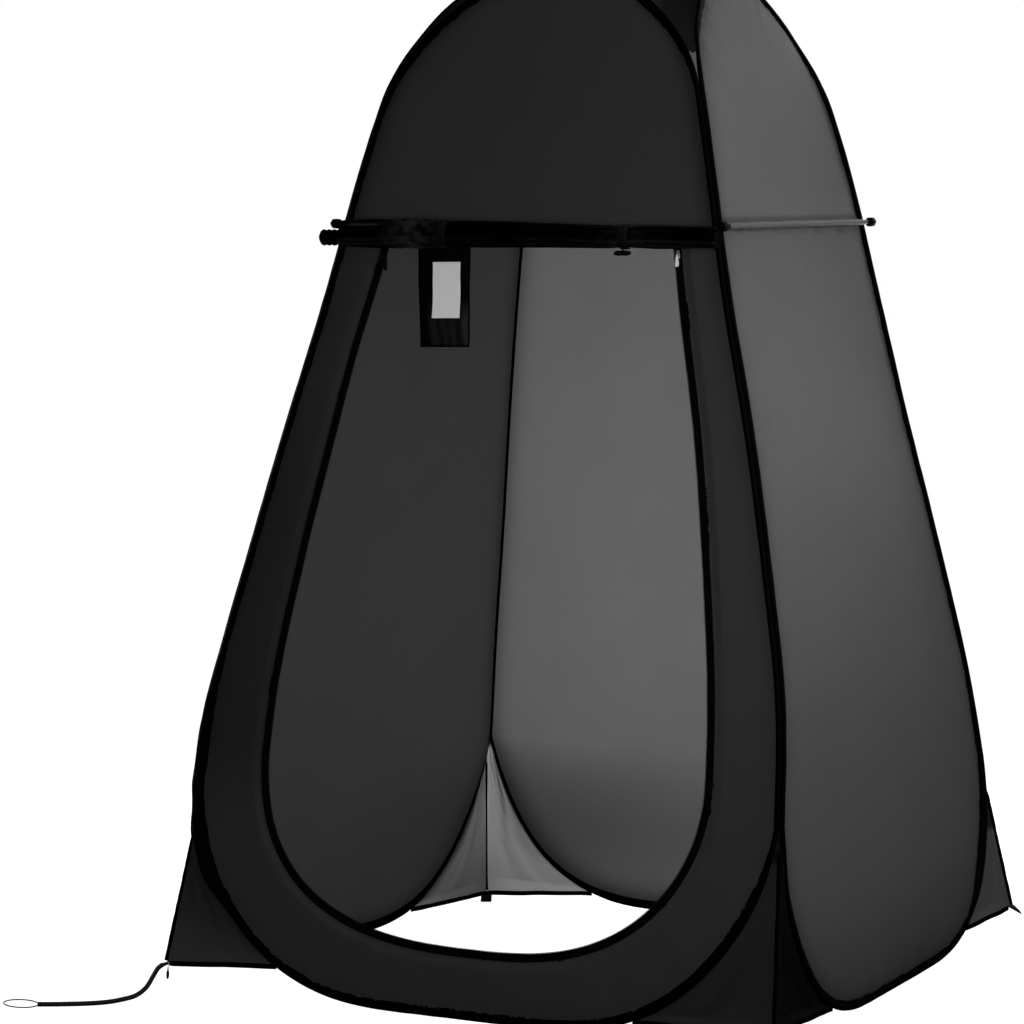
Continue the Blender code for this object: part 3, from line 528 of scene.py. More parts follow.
def scaled(t, vec, scale, rotation=(0, 0, 0)):
    n = t.nodes.new("ShaderNodeMapping")
    n.inputs["Scale"].default_value = scale
    n.inputs["Rotation"].default_value = rotation
    link(t, vec, n.inputs["Vector"])
    return n.outputs["Vector"]


def between(t, v, a, b, lo=0.0, hi=1.0):
    n = t.nodes.new("ShaderNodeMapRange")
    n.inputs["From Min"].default_value = a
    n.inputs["From Max"].default_value = b
    n.inputs["To Min"].default_value = lo
    n.inputs["To Max"].default_value = hi
    link(t, v, n.inputs["Value"])
    return n.outputs["Result"]


def two_colours(t, fac, a, b):
    n = t.nodes.new("ShaderNodeMix")
    n.data_type = "RGBA"
    n.inputs[6].default_value = (*a, 1.0)
    n.inputs[7].default_value = (*b, 1.0)
    link(t, fac, n.inputs[0])
    return n.outputs[2]


def darker(t, fac, colour):
    n = t.nodes.new("ShaderNodeMix")
    n.data_type = "RGBA"
    n.inputs[7].default_value = (0.0, 0.0, 0.0, 1.0)
    link(t, fac, n.inputs[0])
    link(t, colour, n.inputs[6])
    return n.outputs[2]


def bump(t, height, strength, distance):
    n = t.nodes.new("ShaderNodeBump")
    n.inputs["Strength"].default_value = strength
    n.inputs["Distance"].default_value = distance
    link(t, height, n.inputs["Height"])
    return n.outputs["Normal"]


def grey(v, warm=1.0):
    return (v * warm, v, v / warm)


def cloth_material(name, tone, through, share, rough=0.62, sheen=0.03, spec=0.12,
                   pitch=0.00055, mottle=0.10, bump_strength=0.35):
    """Thin woven polyester: threads both ways, slubs, soft mottling, and light
    that comes through."""
    m = bpy.data.materials.new(name)
    t = nodes_of(m)
    uv = t.nodes.new("ShaderNodeTexCoord").outputs["UV"]
    sep = t.nodes.new("ShaderNodeSeparateXYZ")
    link(t, uv, sep.inputs[0])
    u, v = sep.outputs["X"], sep.outputs["Y"]
    # threads over and under
    a = math_node(t, "SINE", math_node(t, "MULTIPLY", u, 2 * math.pi / pitch))
    b = math_node(t, "SINE", math_node(t, "MULTIPLY", v, 2 * math.pi / (pitch * 1.15)))
    weave = math_node(t, "MULTIPLY", a, b)
    # slubs: threads thicker here and there, along each direction
    s1 = noise_node(t, scaled(t, uv, (1100, 22, 1)), 1.0, 2.0)
    s2 = noise_node(t, scaled(t, uv, (22, 950, 1)), 1.0, 2.0)
    slub = math_node(t, "ADD", s1, s2)
    soft = noise_node(t, scaled(t, uv, (6.0, 5.0, 1)), 1.0, 4.0, 0.6)
    grain = noise_node(t, scaled(t, uv, (160, 160, 1)), 1.0, 3.0, 0.6)
    tone_mix = math_node(t, "ADD",
                         math_node(t, "MULTIPLY", math_node(t, "SUBTRACT", slub, 1.0), 0.55),
                         math_node(t, "ADD",
                                   math_node(t, "MULTIPLY", math_node(t, "SUBTRACT", soft, 0.5), 0.9),
                                   math_node(t, "MULTIPLY", math_node(t, "SUBTRACT", grain, 0.5), 0.5)))
    fac = math_node(t, "ADD", tone_mix, 0.5)
    base = two_colours(t, fac, grey(tone * (1 - mottle)), grey(tone * (1 + mottle)))
    thru = two_colours(t, fac, grey(through * (1 - mottle)), grey(through * (1 + mottle)))
    # painted shade, read from the "seam" attribute: darker towards the sleeves and wherever else a piece sets it
    near = t.nodes.new("ShaderNodeAttribute")
    near.attribute_name = "seam"
    base = darker(t, near.outputs["Fac"], base)
    thru = darker(t, near.outputs["Fac"], thru)
    height = math_node(t, "ADD", math_node(t, "MULTIPLY", weave, 0.35),
                       math_node(t, "ADD", math_node(t, "MULTIPLY", slub, 0.8),
                                 math_node(t, "MULTIPLY", grain, 0.5)))
    nrm = bump(t, height, bump_strength, 0.00022)
    p = t.nodes.new("ShaderNodeBsdfPrincipled")
    link(t, base, p.inputs["Base Color"])
    link(t, nrm, p.inputs["Normal"])
    link(t, between(t, slub, 0.6, 1.4, rough - 0.06, rough + 0.08), p.inputs["Roughness"])
    p.inputs["Specular IOR Level"].default_value = spec
    p.inputs["Sheen Weight"].default_value = sheen
    p.inputs["Sheen Roughness"].default_value = 0.45
    p.inputs["Sheen Tint"].default_value = (1, 1, 1, 1)
    out = t.nodes.new("ShaderNodeOutputMaterial")
    if share > 0:
        tr = t.nodes.new("ShaderNodeBsdfTranslucent")
        link(t, thru, tr.inputs["Color"])
        mix = t.nodes.new("ShaderNodeMixShader")
        mix.inputs[0].default_value = share
        link(t, p.outputs[0], mix.inputs[1])
        link(t, tr.outputs[0], mix.inputs[2])
        link(t, mix.outputs[0], out.inputs[0])
    else:
        link(t, p.outputs[0], out.inputs[0])
    m.diffuse_color = (*grey(tone), 1)
    return m


def tape_material(name, tone, rough=0.7, spec=0.12, rib=0.0009, stitches=(), sheen=0.0,
                  strength=0.5, worn=0.35):
    """Woven tape: ribs across it, rows of stitches at the given places over
    its width, and a little wear."""
    m = bpy.data.materials.new(name)
    t = nodes_of(m)
    uv = t.nodes.new("ShaderNodeTexCoord").outputs["UV"]
    sep = t.nodes.new("ShaderNodeSeparateXYZ")
    link(t, uv, sep.inputs[0])
    u, v = sep.outputs["X"], sep.outputs["Y"]
    ribs = math_node(t, "SINE", math_node(t, "MULTIPLY", u, 2 * math.pi / rib))
    fine_n = noise_node(t, scaled(t, uv, (900, 300, 1)), 1.0, 2.0)
    wear = noise_node(t, scaled(t, uv, (28, 60, 1)), 1.0, 4.0, 0.6)
    height = math_node(t, "ADD", math_node(t, "MULTIPLY", ribs, 0.18), math_node(t, "MULTIPLY", fine_n, 0.7))
    thread = None
    for place in stitches:
        near = math_node(t, "SUBTRACT", 1.0, math_node(t, "MULTIPLY",
                         math_node(t, "ABSOLUTE", math_node(t, "SUBTRACT", v, place)), 1 / 0.00055))
        near = math_node(t, "MAXIMUM", near, 0.0)
        dash = math_node(t, "PINGPONG", u, 0.0016)
        dash = between(t, dash, 0.0002, 0.0007)
        one = math_node(t, "MULTIPLY", near, dash)
        thread = one if thread is None else math_node(t, "MAXIMUM", thread, one)
    if thread is not None:
        height = math_node(t, "ADD", height, math_node(t, "MULTIPLY", thread, 2.2))
    fac = math_node(t, "MULTIPLY", wear, 1.0)
    col = two_colours(t, fac, grey(tone * (1 - worn)), grey(tone * (1 + 2 * worn)))
    p = t.nodes.new("ShaderNodeBsdfPrincipled")
    link(t, col, p.inputs["Base Color"])
    link(t, between(t, wear, 0.3, 0.7, rough - 0.06, rough + 0.08), p.inputs["Roughness"])
    link(t, bump(t, height, strength, 0.0003), p.inputs["Normal"])
    p.inputs["Specular IOR Level"].default_value = spec
    p.inputs["Sheen Weight"].default_value = sheen
    out = t.nodes.new("ShaderNodeOutputMaterial")
    link(t, p.outputs[0], out.inputs[0])
    m.diffuse_color = (*grey(tone), 1)
    return m


def hard_material(name, colour, rough, metallic=0.0, spec=0.4, grain=900.0, strength=0.15, worn=0.15):
    m = bpy.data.materials.new(name)
    t = nodes_of(m)
    ob = t.nodes.new("ShaderNodeTexCoord").outputs["Object"]
    fine_n = noise_node(t, ob, grain, 2.0)
    blot = noise_node(t, ob, 90.0, 4.0, 0.6)
    dark = tuple(c * (1 - worn) for c in colour)
    light = tuple(min(1.0, c * (1 + worn)) for c in colour)
    p = t.nodes.new("ShaderNodeBsdfPrincipled")
    link(t, two_colours(t, blot, dark, light), p.inputs["Base Color"])
    link(t, between(t, blot, 0.3, 0.7, rough - 0.05, rough + 0.08), p.inputs["Roughness"])
    link(t, bump(t, fine_n, strength, 0.0002), p.inputs["Normal"])
    p.inputs["Metallic"].default_value = metallic
    p.inputs["Specular IOR Level"].default_value = spec
    out = t.nodes.new("ShaderNodeOutputMaterial")
    link(t, p.outputs[0], out.inputs[0])
    m.diffuse_color = (*colour, 1)
    return m


CLOTH = cloth_material("polyester_front", 0.034, 0.028, 0.42)
THIN = cloth_material("polyester_thin", 0.036, 0.040, 0.46)
# painted shade: the same cloth about ten times darker, so the roof reads as in shade
ROOF_SHADE_CLOTH = cloth_material("polyester_roof_painted_shade", 0.0036, 0.0045, 0.40, spec=0.03, sheen=0.0)
# painted shadow: the same cloth nearly black, for the fr right gusset
PAINTED_SHADOW_CLOTH = cloth_material("polyester_painted_shadow", 0.0016, 0.0016, 0.40, spec=0.02, sheen=0.0)
SHADED = cloth_material("polyester_shaded", 0.022, 0.017, 0.42, spec=0.08, sheen=0.02)
# painted glow: the thin cloth letting more light through, for the back panels
BACK_GLOW_CLOTH = cloth_material("polyester_back_painted_glow", 0.036, 0.068, 0.46)
# painted glow: the thin cloth letting much more light through, for the bl gussets
GUSSET_GLOW_CLOTH = cloth_material("polyester_gusset_painted_glow", 0.036, 0.180, 0.55)
ROLLED = cloth_material("polyester_rolled", 0.015, 0.0, 0.0, rough=0.5, spec=0.003, sheen=0.0, mottle=0.3)
POCKET = cloth_material("polyester_pocket", 0.0130, 0.0, 0.0, rough=0.36, spec=0.012, sheen=0.0, mottle=0.2)
BINDING = tape_material("binding", 0.0002, spec=0.006, stitches=(0.0042, 0.0060))
ZIPTAPE = tape_material("zip_tape", 0.0005, spec=0.018, rib=0.0007, stitches=(0.0030, 0.0150))
WEBBING = tape_material("webbing", 0.003, rib=0.0013, spec=0.1, strength=0.7)
TIE = tape_material("tie_webbing", 0.0012, rib=0.0013, spec=0.05, strength=0.7)
ROD = hard_material("coated_rod", (0.0003, 0.0003, 0.0003), 0.6, spec=0.012, worn=0.05)
PLASTIC = hard_material("moulded_plastic", (0.0012, 0.0012, 0.0012), 0.45, spec=0.06, worn=0.05)
SILVER = hard_material("zip_metal", (0.30, 0.30, 0.29), 0.38, metallic=1.0, worn=0.1)


def satin_material():
    m = bpy.data.materials.new("satin_label")
    t = nodes_of(m)
    uv = t.nodes.new("ShaderNodeTexCoord").outputs["UV"]
    s1 = noise_node(t, scaled(t, uv, (60, 1600, 1)), 1.0, 2.0)
    soft = noise_node(t, scaled(t, uv, (40, 30, 1)), 1.0, 3.0)
    p = t.nodes.new("ShaderNodeBsdfPrincipled")
    link(t, two_colours(t, soft, (0.56, 0.56, 0.555), (0.65, 0.65, 0.642)), p.inputs["Base Color"])
    link(t, between(t, s1, 0.3, 0.7, 0.45, 0.6), p.inputs["Roughness"])
    link(t, bump(t, s1, 0.4, 0.0001), p.inputs["Normal"])
    p.inputs["Specular IOR Level"].default_value = 0.4
    p.inputs["Sheen Weight"].default_value = 0.2
    out = t.nodes.new("ShaderNodeOutputMaterial")
    link(t, p.outputs[0], out.inputs[0])
    return m


SATIN = satin_material()

# ---------------------------------------------------------------- the sleeves


def sleeve_section():
    """(across, thickness) of a sleeve round its flat steel band, pinched and
    stitched along its inner edge, from that edge round the front and back."""
    a = np.array((-9.4, -8.4, -6.8, -5.3, -4.4, -3.4, -1.6, 0.8, 3.4, 5.8, 7.6, 8.7, 9.1))
    def thick(x):
        body = 3.35 * np.sqrt(np.clip(1 - ((x - 2.9) / 6.9) ** 2, 0, 1))
        seam = 0.95 - 0.25 * np.exp(-((x + 4.9) / 0.8) ** 2)
        return np.where(x < -4.2, seam, np.maximum(body, 0.75))
    h = thick(a)
    h[0], h[-1] = 0.35, 0.5
    up = np.stack([a, h], -1)
    down = np.stack([a, -h], -1)[::-1]
    return np.concatenate([up, down]) * 0.001


def hoop(f):
    mid, n, e, t, half_w, half_t = FRAMES[f]
    sec = sleeve_section()
    d = lengths(np.concatenate([mid, mid[:1]]))
    s = d[:-1]
    bend = np.linalg.norm(np.roll(t, -2, 0) - np.roll(t, 2, 0), axis=1) / np.maximum(1e-6, np.linalg.norm(np.roll(mid, -2, 0) - np.roll(mid, 2, 0), axis=1))
    bend = np.convolve(np.concatenate([bend[-30:], bend, bend[:30]]), np.ones(31) / 31, "same")[30:-30]
    curl = np.clip(bend / 4.0, 0.15, 1.0)
    seed = {"front": 11, "right": 23, "back": 37, "left": 41}[f]
    # the cloth gathers where the band curves
    ripple = noise1(s / 0.0075, seed) * curl
    wide = noise1(s / 0.045, seed + 1)
    S = np.broadcast_to(sec, (len(mid),) + sec.shape).copy()
    edge = smooth((0.001 - S[..., 0]) / 0.010)
    S[..., 1] += (ripple * 0.00045)[:, None] * edge
    body = smooth((S[..., 0] + 0.004) / 0.003)
    S[..., 1] *= 1 + 0.07 * body * wide[:, None] + 0.05 * body * (noise1(s / 0.011, seed + 2) * curl)[:, None]
    S[..., 0] += (0.00035 * noise1(s / 0.03, seed + 3))[:, None]
    S[..., 0] *= (half_w / (SLEEVE / 2))[:, None]
    # the two sleeves of a corner are sewn together without a slit
    S[..., 1] *= ((half_t + 0.0006 * JOINED[f]) / (SLEEVE_T / 2))[:, None]
    shape = Shape()
    shape.tube(mid, e, n, S, U=d, closed=True)
    ob = shape.make("sleeve_" + f, BINDING, "hoop_" + f, "black_binding_tape", sharp=60)
    return ob


# ------------------------------------------------------------ the taut panels


def columns(m, fine_edge=0.16):
    """Shares across a panel, closer together near its edges."""
    t = np.linspace(0, 1, m + 1)
    c = 0.5 - 0.5 * np.cos(math.pi * t)
    return (1 - 0.55) * t + 0.55 * c


def at_height(line, z):
    """Points of a rising line at the given heights."""
    h = np.maximum.accumulate(line[:, 2])
    h = h + np.arange(len(h)) * 1e-9
    return np.stack([np.interp(z, h, line[:, c]) for c in range(3)], -1)


def near_edge(P, line):
    """Distance to a line of points, and the distance along it, for each P."""
    s = lengths(line)
    flat = P.reshape(-1, 3)
    best = np.empty(len(flat))
    at = np.empty(len(flat))
    sub = line[::2].astype(np.float32)
    ss = s[::2]
    n2 = (sub ** 2).sum(1)
    for i in range(0, len(flat), 6000):
        q = flat[i:i + 6000].astype(np.float32)
        d2 = n2[None] - 2 * q @ sub.T
        j = d2.argmin(1)
        best[i:i + 6000] = np.sqrt(np.maximum(0, d2[np.arange(len(q)), j] + (q ** 2).sum(1)))
        at[i:i + 6000] = ss[j]
    return best.reshape(P.shape[:-1]), at.reshape(P.shape[:-1])


def cloth_relief(f, P, dist, at, seed, soft=1.0):
    """How far taut cloth stands off its flat plane, outward."""
    h = P @ across(f)
    z = P[..., 2]
    # it lies in the fold of the sleeve and rises to its plane a little inside
    rise = 0.0042 * (1 - np.exp(-dist / 0.016))
    # short puckers from the seam, and longer ones between them
    pucker = 0.00075 * noise1(at / 0.0085, seed) * np.exp(-dist / 0.014)
    pucker += 0.0011 * noise1(at / 0.028, seed + 1) * np.exp(-dist / 0.040) * (1 - np.exp(-dist / 0.006))
    big = 0.0016 * soft * layered(h / 0.34 + 3, z / 0.55 + 5, seed + 2, 2) * smooth(dist / 0.12)
    small = 0.00022 * layered(h / 0.045, z / 0.06, seed + 5, 2) * smooth(dist / 0.03)
    return rise + pucker + big + small


def shade(ob, v):
    """How much painted shade darkens the cloth at each point, kept in the "seam" attribute."""
    a = ob.data.attributes.new("seam", "FLOAT", "POINT")
    a.data.foreach_set("value", np.clip(v, 0, 1).astype(np.float32).ravel())


def panel(f, name, i0, i1, m, mat, slot, seed, pole=False):
    a = inner_edge(f, -1, i0, i1, tuck=0.0030)
    b = inner_edge(f, 1, i0, i1, tuck=0.0030)
    # rows are level below the corner seams, where the two sides may differ,
    # and run more and more like the pole's seam above them
    if i0 < fine(I_SEAM):
        x = smooth((np.arange(i0, i1 + 1) - fine(I_SEAM)) / (fine(I_ROD) - fine(I_SEAM)))
        z = 0.5 * (a[:, 2] + b[:, 2])
        a, b = at_height(a, z + (a[:, 2] - z) * x), at_height(b, z + (b[:, 2] - z) * x)
    w = columns(m)[None, :, None]
    P = a[:, None] * (1 - w) + b[:, None] * w
    mid, n, e, t, hw, ht = FRAMES[f]
    edge = mid - e * hw[:, None]
    edge = np.concatenate([edge, edge[:1]])
    dist, at = near_edge(P, edge)
    h = P @ across(f)
    z = P[..., 2]
    off = cloth_relief(f, P, dist, at, seed)
    if pole:
        # drawn towards the pole's tunnel, with little creases at its seam
        ka, kb = FACES[f]
        x = np.clip((h - h.min()) / (h.max() - h.min()), 0, 1)
        seam = ROD_Z[ka] * (1 - x) + ROD_Z[kb] * x
        away = np.abs(z - seam)
        off = off + 0.0035 * np.exp(-away / 0.030) * smooth(dist / 0.03)
        crease = noise1(h / 0.0065, seed + 9)
        off = off + 0.0009 * crease * np.exp(-away / 0.010) * (1 - np.exp(-away / 0.002)) * smooth(dist / 0.02)
    P = P + face_normal(f, z) * off[..., None]
    s = Shape()
    s.grid(P, U=h, V=z)
    ob = s.make(name + "_cloth", mat, name, slot, facing=outward(f), sharp=None)
    # painted shade: darker within a few centimetres of the sleeves
    v = 0.50 * np.exp(-dist / 0.015)
    if pole:
        # painted shadow above the pole's tunnel, and painted dark pucker marks below it
        v = v + (1 - v) * 0.80 * np.exp(-((z - seam - 0.010) / 0.0045) ** 2)
        pucker = np.clip(0.4 + 0.9 * noise1(h / 0.0045, seed + 19), 0, 1)
        v = v + (1 - v) * 0.60 * pucker * np.exp(-((z - seam + 0.013) / 0.005) ** 2)
    # painted shade: the right panel darker towards the ground and beside its back sleeve
    if f == "right":
        v = v + (1 - v) * 0.38 * smooth((0.26 - z) / 0.24)
        v = v + (1 - v) * 0.17 * np.exp(-dist / 0.05) * (h > 0)
    # painted shade: the back panel darker beside its sleeves low down
    if f == "back":
        v = v + (1 - v) * 0.35 * np.exp(-(dist / 0.030) ** 2) * smooth((0.40 - z) / 0.10)
    shade(ob, v)
    return ob


# ------------------------------------------------------------------ the front


def door_edge(s, z):
    """The doorway's edge at height z, as a share of the half width."""
    z = np.asarray(z, float)
    if s < 0:
        return DOOR_LEFT - 0.018 * smooth((z - 0.45) / 0.40) + 0.035 * smooth((z - 1.18) / 0.26)
    return DOOR_RIGHT + 0.018 * smooth((z - 0.50) / 0.60)


def door_line(step=0.0035):
    """Middle line of the zip round the doorway, and how it lies."""
    n = 320
    z = np.linspace(DOOR_TOP, DOOR_MID, n, endpoint=False)
    left = on_face("front", door_edge(-1, z), z)
    xl = float(on_face("front", DOOR_LEFT, DOOR_MID)[0])
    xr = float(on_face("front", DOOR_RIGHT, DOOR_MID)[0])
    low = []
    for ex, n_, m_ in ((xl, 2.74, 2.41), (xr, 2.54, 1.90)):
        t = 0.5 * math.pi * np.linspace(0, 1, 4001)
        x = DOOR_X + (ex - DOOR_X) * np.clip(np.cos(t), 0, 1) ** (2 / n_)
        zz = DOOR_LOW + (DOOR_MID - DOOR_LOW) * (1 - np.sin(t) ** (2 / m_))
        x, zz = resample(x * 2, zz, 400)
        x = x / 2
        low.append(np.stack([x, -half(zz), zz], -1))
    z = np.linspace(DOOR_MID, DOOR_TOP, n + 1)[1:]
    right = on_face("front", door_edge(1, z), z)
    P = np.concatenate([left, low[0][:-1], low[1][::-1], right])
    d = lengths(P)
    P = along(P, int(d[-1] / step) + 1)
    t = tangents(P)
    n = face_normal("front", P[:, 2])
    n = unit(n - t * dot(t, n))
    a = unit(np.cross(t, n))
    return P, a, n, t


DOOR = door_line()


def front_lower():
    P, a, n, t = DOOR
    left = inner_edge("front", -1, fine(I_ROD), 0, tuck=0.0030)
    right = inner_edge("front", 1, 0, fine(I_ROD), tuck=0.0030)
    outer = np.concatenate([left, right[1:]])
    edge = P + a * (ZIP_TAPE / 2 - 0.0022)
    first = on_face("front", door_edge(-1, 1.44), ROD_Z["fl"] - 0.003) - (0.010, 0, 0)
    last = on_face("front", door_edge(1, 1.44), ROD_Z["fr"] - 0.003) + (0.010, 0, 0)
    edge = np.concatenate([along(np.array([first, edge[0]]), 8)[:-1], edge, along(np.array([edge[-1], last]), 8)[1:]])

    def matched(Q, low):
        d = lengths(Q)
        q = d / d[-1]
        h = q[low]
        q = np.where(q < h, 0.5 * q / h, 0.5 + 0.5 * (q - h) / (1 - h))
        x = np.linspace(0, 1, 821)
        return np.stack([np.interp(x, q, Q[:, c]) for c in range(3)], -1)

    o = matched(outer, len(left) - 1)
    low = int(np.argmin(edge[:, 2] + 0.02 * np.abs(edge[:, 0] - DOOR_X)))
    i = matched(edge, low)
    m = 27
    w = columns(m)[None, :, None]
    Q = o[:, None] * (1 - w) + i[:, None] * w
    mid, nn, e, tt, hw, ht = FRAMES["front"]
    hoop_edge = mid - e * hw[:, None]
    d1, s1 = near_edge(Q, np.concatenate([hoop_edge, hoop_edge[:1]]))
    d2, s2 = near_edge(Q, P + a * ZIP_TAPE / 2)
    z = Q[..., 2]
    off = cloth_relief("front", Q, d1, s1, 61, 0.8)
    off += 0.0005 * noise1(s2 / 0.009, 67) * np.exp(-d2 / 0.012) + 0.0012 * noise1(s2 / 0.035, 68) * np.exp(-d2 / 0.045)
    off *= np.minimum(1.0, 0.25 + d2 / 0.02)
    Q = Q + face_normal("front", z) * off[..., None]
    s = Shape()
    s.grid(Q, U=Q[..., 0], V=z)
    ob = s.make("front_panel_lower_cloth", CLOTH, "front_panel_lower", "black_polyester",
                facing=(0, -1, 0), sharp=None)
    # painted shade: the left part of the front darker, most from about 0.5 to 0.9 m up
    shade(ob, 0.45 * smooth((-0.22 - Q[..., 0]) / 0.16) * smooth((Q[..., 2] - 0.25) / 0.25)
          * (1 - 0.55 * smooth((Q[..., 2] - 0.9) / 0.3)))
    return ob


def door_zip():
    P, a, n, t = DOOR
    d = lengths(P)
    s = Shape()
    # folded tape, its outer half sewn over the cloth, its inner edge the zip's
    sec = np.array(((9.0, 0.0), (8.7, 0.75), (7.0, 0.95), (5.6, 0.72), (4.2, 1.0), (1.2, 1.05), (-1.8, 0.95),
                    (-3.0, 0.70), (-4.2, 0.85), (-7.4, 0.80), (-8.2, 0.55), (-8.4, 0.0),
                    (-8.2, -0.55), (-4.2, -0.75), (1.2, -0.85), (7.0, -0.85), (8.7, -0.60))) * 0.001
    S = np.broadcast_to(sec, (len(P),) + sec.shape).copy()
    S[..., 1] += (0.00045 * noise1(d / 0.012, 71))[:, None] * smooth(np.abs(S[..., 0]) / 0.009)
    S[..., 1] += (0.0008 * noise1(d / 0.05, 72))[:, None]
    S[..., 0] += (0.0003 * noise1(d / 0.03, 73))[:, None]
    s.tube(P, a, n, S, U=np.append(d, d[-1] + 0.01))
    ob = s.make("door_zip_tape", ZIPTAPE, "door_zip", "black_binding_tape", sharp=50)
    c = Shape()
    count = int(d[-1] / 0.0026)
    at = (np.arange(count) + 0.5) * d[-1] / count
    Q, A, N, TT = (np.stack([np.interp(at, d, v[:, k]) for k in range(3)], -1) for v in (P, a, n, t))
    A, N, TT = unit(A), unit(N), unit(TT)
    lift = np.interp(at, d, 0.0008 * noise1(d / 0.05, 72))[:, None]
    c.boxes(Q - A * 0.0083 + N * (0.0006 + lift), A, TT, N, (0.0030, 0.0013, 0.0020))
    teeth = c.make("door_zip_teeth", PLASTIC, (), "black_plastic", sharp=30)
    return ob, teeth


# ------------------------------------------------------------------- the roof


ROOF_RISE = 0.020


def roof():
    """One cloth between the arches: their outer edges are its four sides."""
    start = fine(I_HIGH + 1)
    N = 96
    sides = {}
    for f in ("front", "right", "back", "left"):
        l = outer_edge(f, -1, start, LAST, tuck=0.0030)
        r = outer_edge(f, 1, LAST, start, tuck=0.0030)
        sides[f] = along(np.concatenate([l, r[1:]]), N + 1)
    order = ("front", "right", "back", "left")
    for k, f in enumerate(order):
        g = order[(k + 1) % 4]
        m = 0.5 * (sides[f][-1] + sides[g][0])
        sides[f][-1] = m
        sides[g][0] = m
    F, R, B, L = (sides[f] for f in order)
    # u runs along x (front from left to right), v from the front to the back
    bottom, top_, left, right = F, B[::-1], L[::-1], R
    u = np.linspace(0, 1, N + 1)[None, :, None]
    v = np.linspace(0, 1, N + 1)[:, None, None]
    P = ((1 - v) * bottom[None] + v * top_[None] + (1 - u) * left[:, None] + u * right[:, None]
         - (1 - u) * (1 - v) * bottom[0] - u * (1 - v) * bottom[-1]
         - (1 - u) * v * top_[0] - u * v * top_[-1])
    # drawn taut: each point in the middle of its four neighbours
    i, j = np.meshgrid(np.arange(1, N), np.arange(1, N), indexing="ij")
    odd = ((i + j) % 2 == 1)[..., None]
    pull = 2 / (1 + math.sin(math.pi / N))
    for step in range(360):
        mask = odd if step % 2 else ~odd
        mean = 0.25 * (P[:-2, 1:-1] + P[2:, 1:-1] + P[1:-1, :-2] + P[1:-1, 2:])
        P[1:-1, 1:-1] += np.where(mask, pull * (mean - P[1:-1, 1:-1]), 0.0)
    P[..., 2] += ROOF_RISE * (np.sin(math.pi * u) * np.sin(math.pi * v))[..., 0]
    line = np.concatenate([F, R[1:], B[1:], L[1:]])
    dist, at = near_edge(P, line)
    du = np.gradient(P, axis=1)
    dv = np.gradient(P, axis=0)
    n = unit(np.cross(du, dv))
    off = 0.0022 * (1 - np.exp(-dist / 0.014))
    off += 0.0008 * noise1(at / 0.010, 81) * np.exp(-dist / 0.016)
    off += 0.0012 * noise1(at / 0.034, 82) * np.exp(-dist / 0.045)
    off += 0.0018 * layered(P[..., 0] / 0.16, P[..., 1] / 0.16, 83, 3) * smooth(dist / 0.06)
    off[0], off[-1], off[:, 0], off[:, -1] = 0, 0, 0, 0
    P = P + n * off[..., None]
    s = Shape()
    s.grid(P, U=P[..., 0], V=P[..., 1])
    ob = s.make("roof_cloth", ROOF_SHADE_CLOTH, "roof_panel", "black_polyester", facing=(0, 0, 1), sharp=None)
    return ob


# ---------------------------------------------------------------- the corners

HEM_I = {"fl": 4, "fr": 3, "br": 4, "bl": 3}
RIDGE_DROP = {"fl": 0.060, "fr": 0.060, "br": 0.085, "bl": 0.065}
RIDGE_W, RIDGE_T = 0.007, 0.0045
HEM_W, HEM_T = 0.010, 0.0040
ENDS = {"fl": (("front", -1), ("left", 1)), "fr": (("right", -1), ("front", 1)),
        "br": (("back", -1), ("right", 1)), "bl": (("left", -1), ("back", 1))}


def corner_lines(k):
    g = np.array(GROUND[k])
    sx, sy = SIGN[k]
    diag = unit(np.array((sx, sy, 0.0)))
    top = corner(k, SEAM_LO[k] - RIDGE_DROP[k]) + diag * (-0.003 if k == "fl" else 0.004)
    foot = g + ZUP * (HEM_W / 2 + 0.0012)
    return g, diag, top, foot


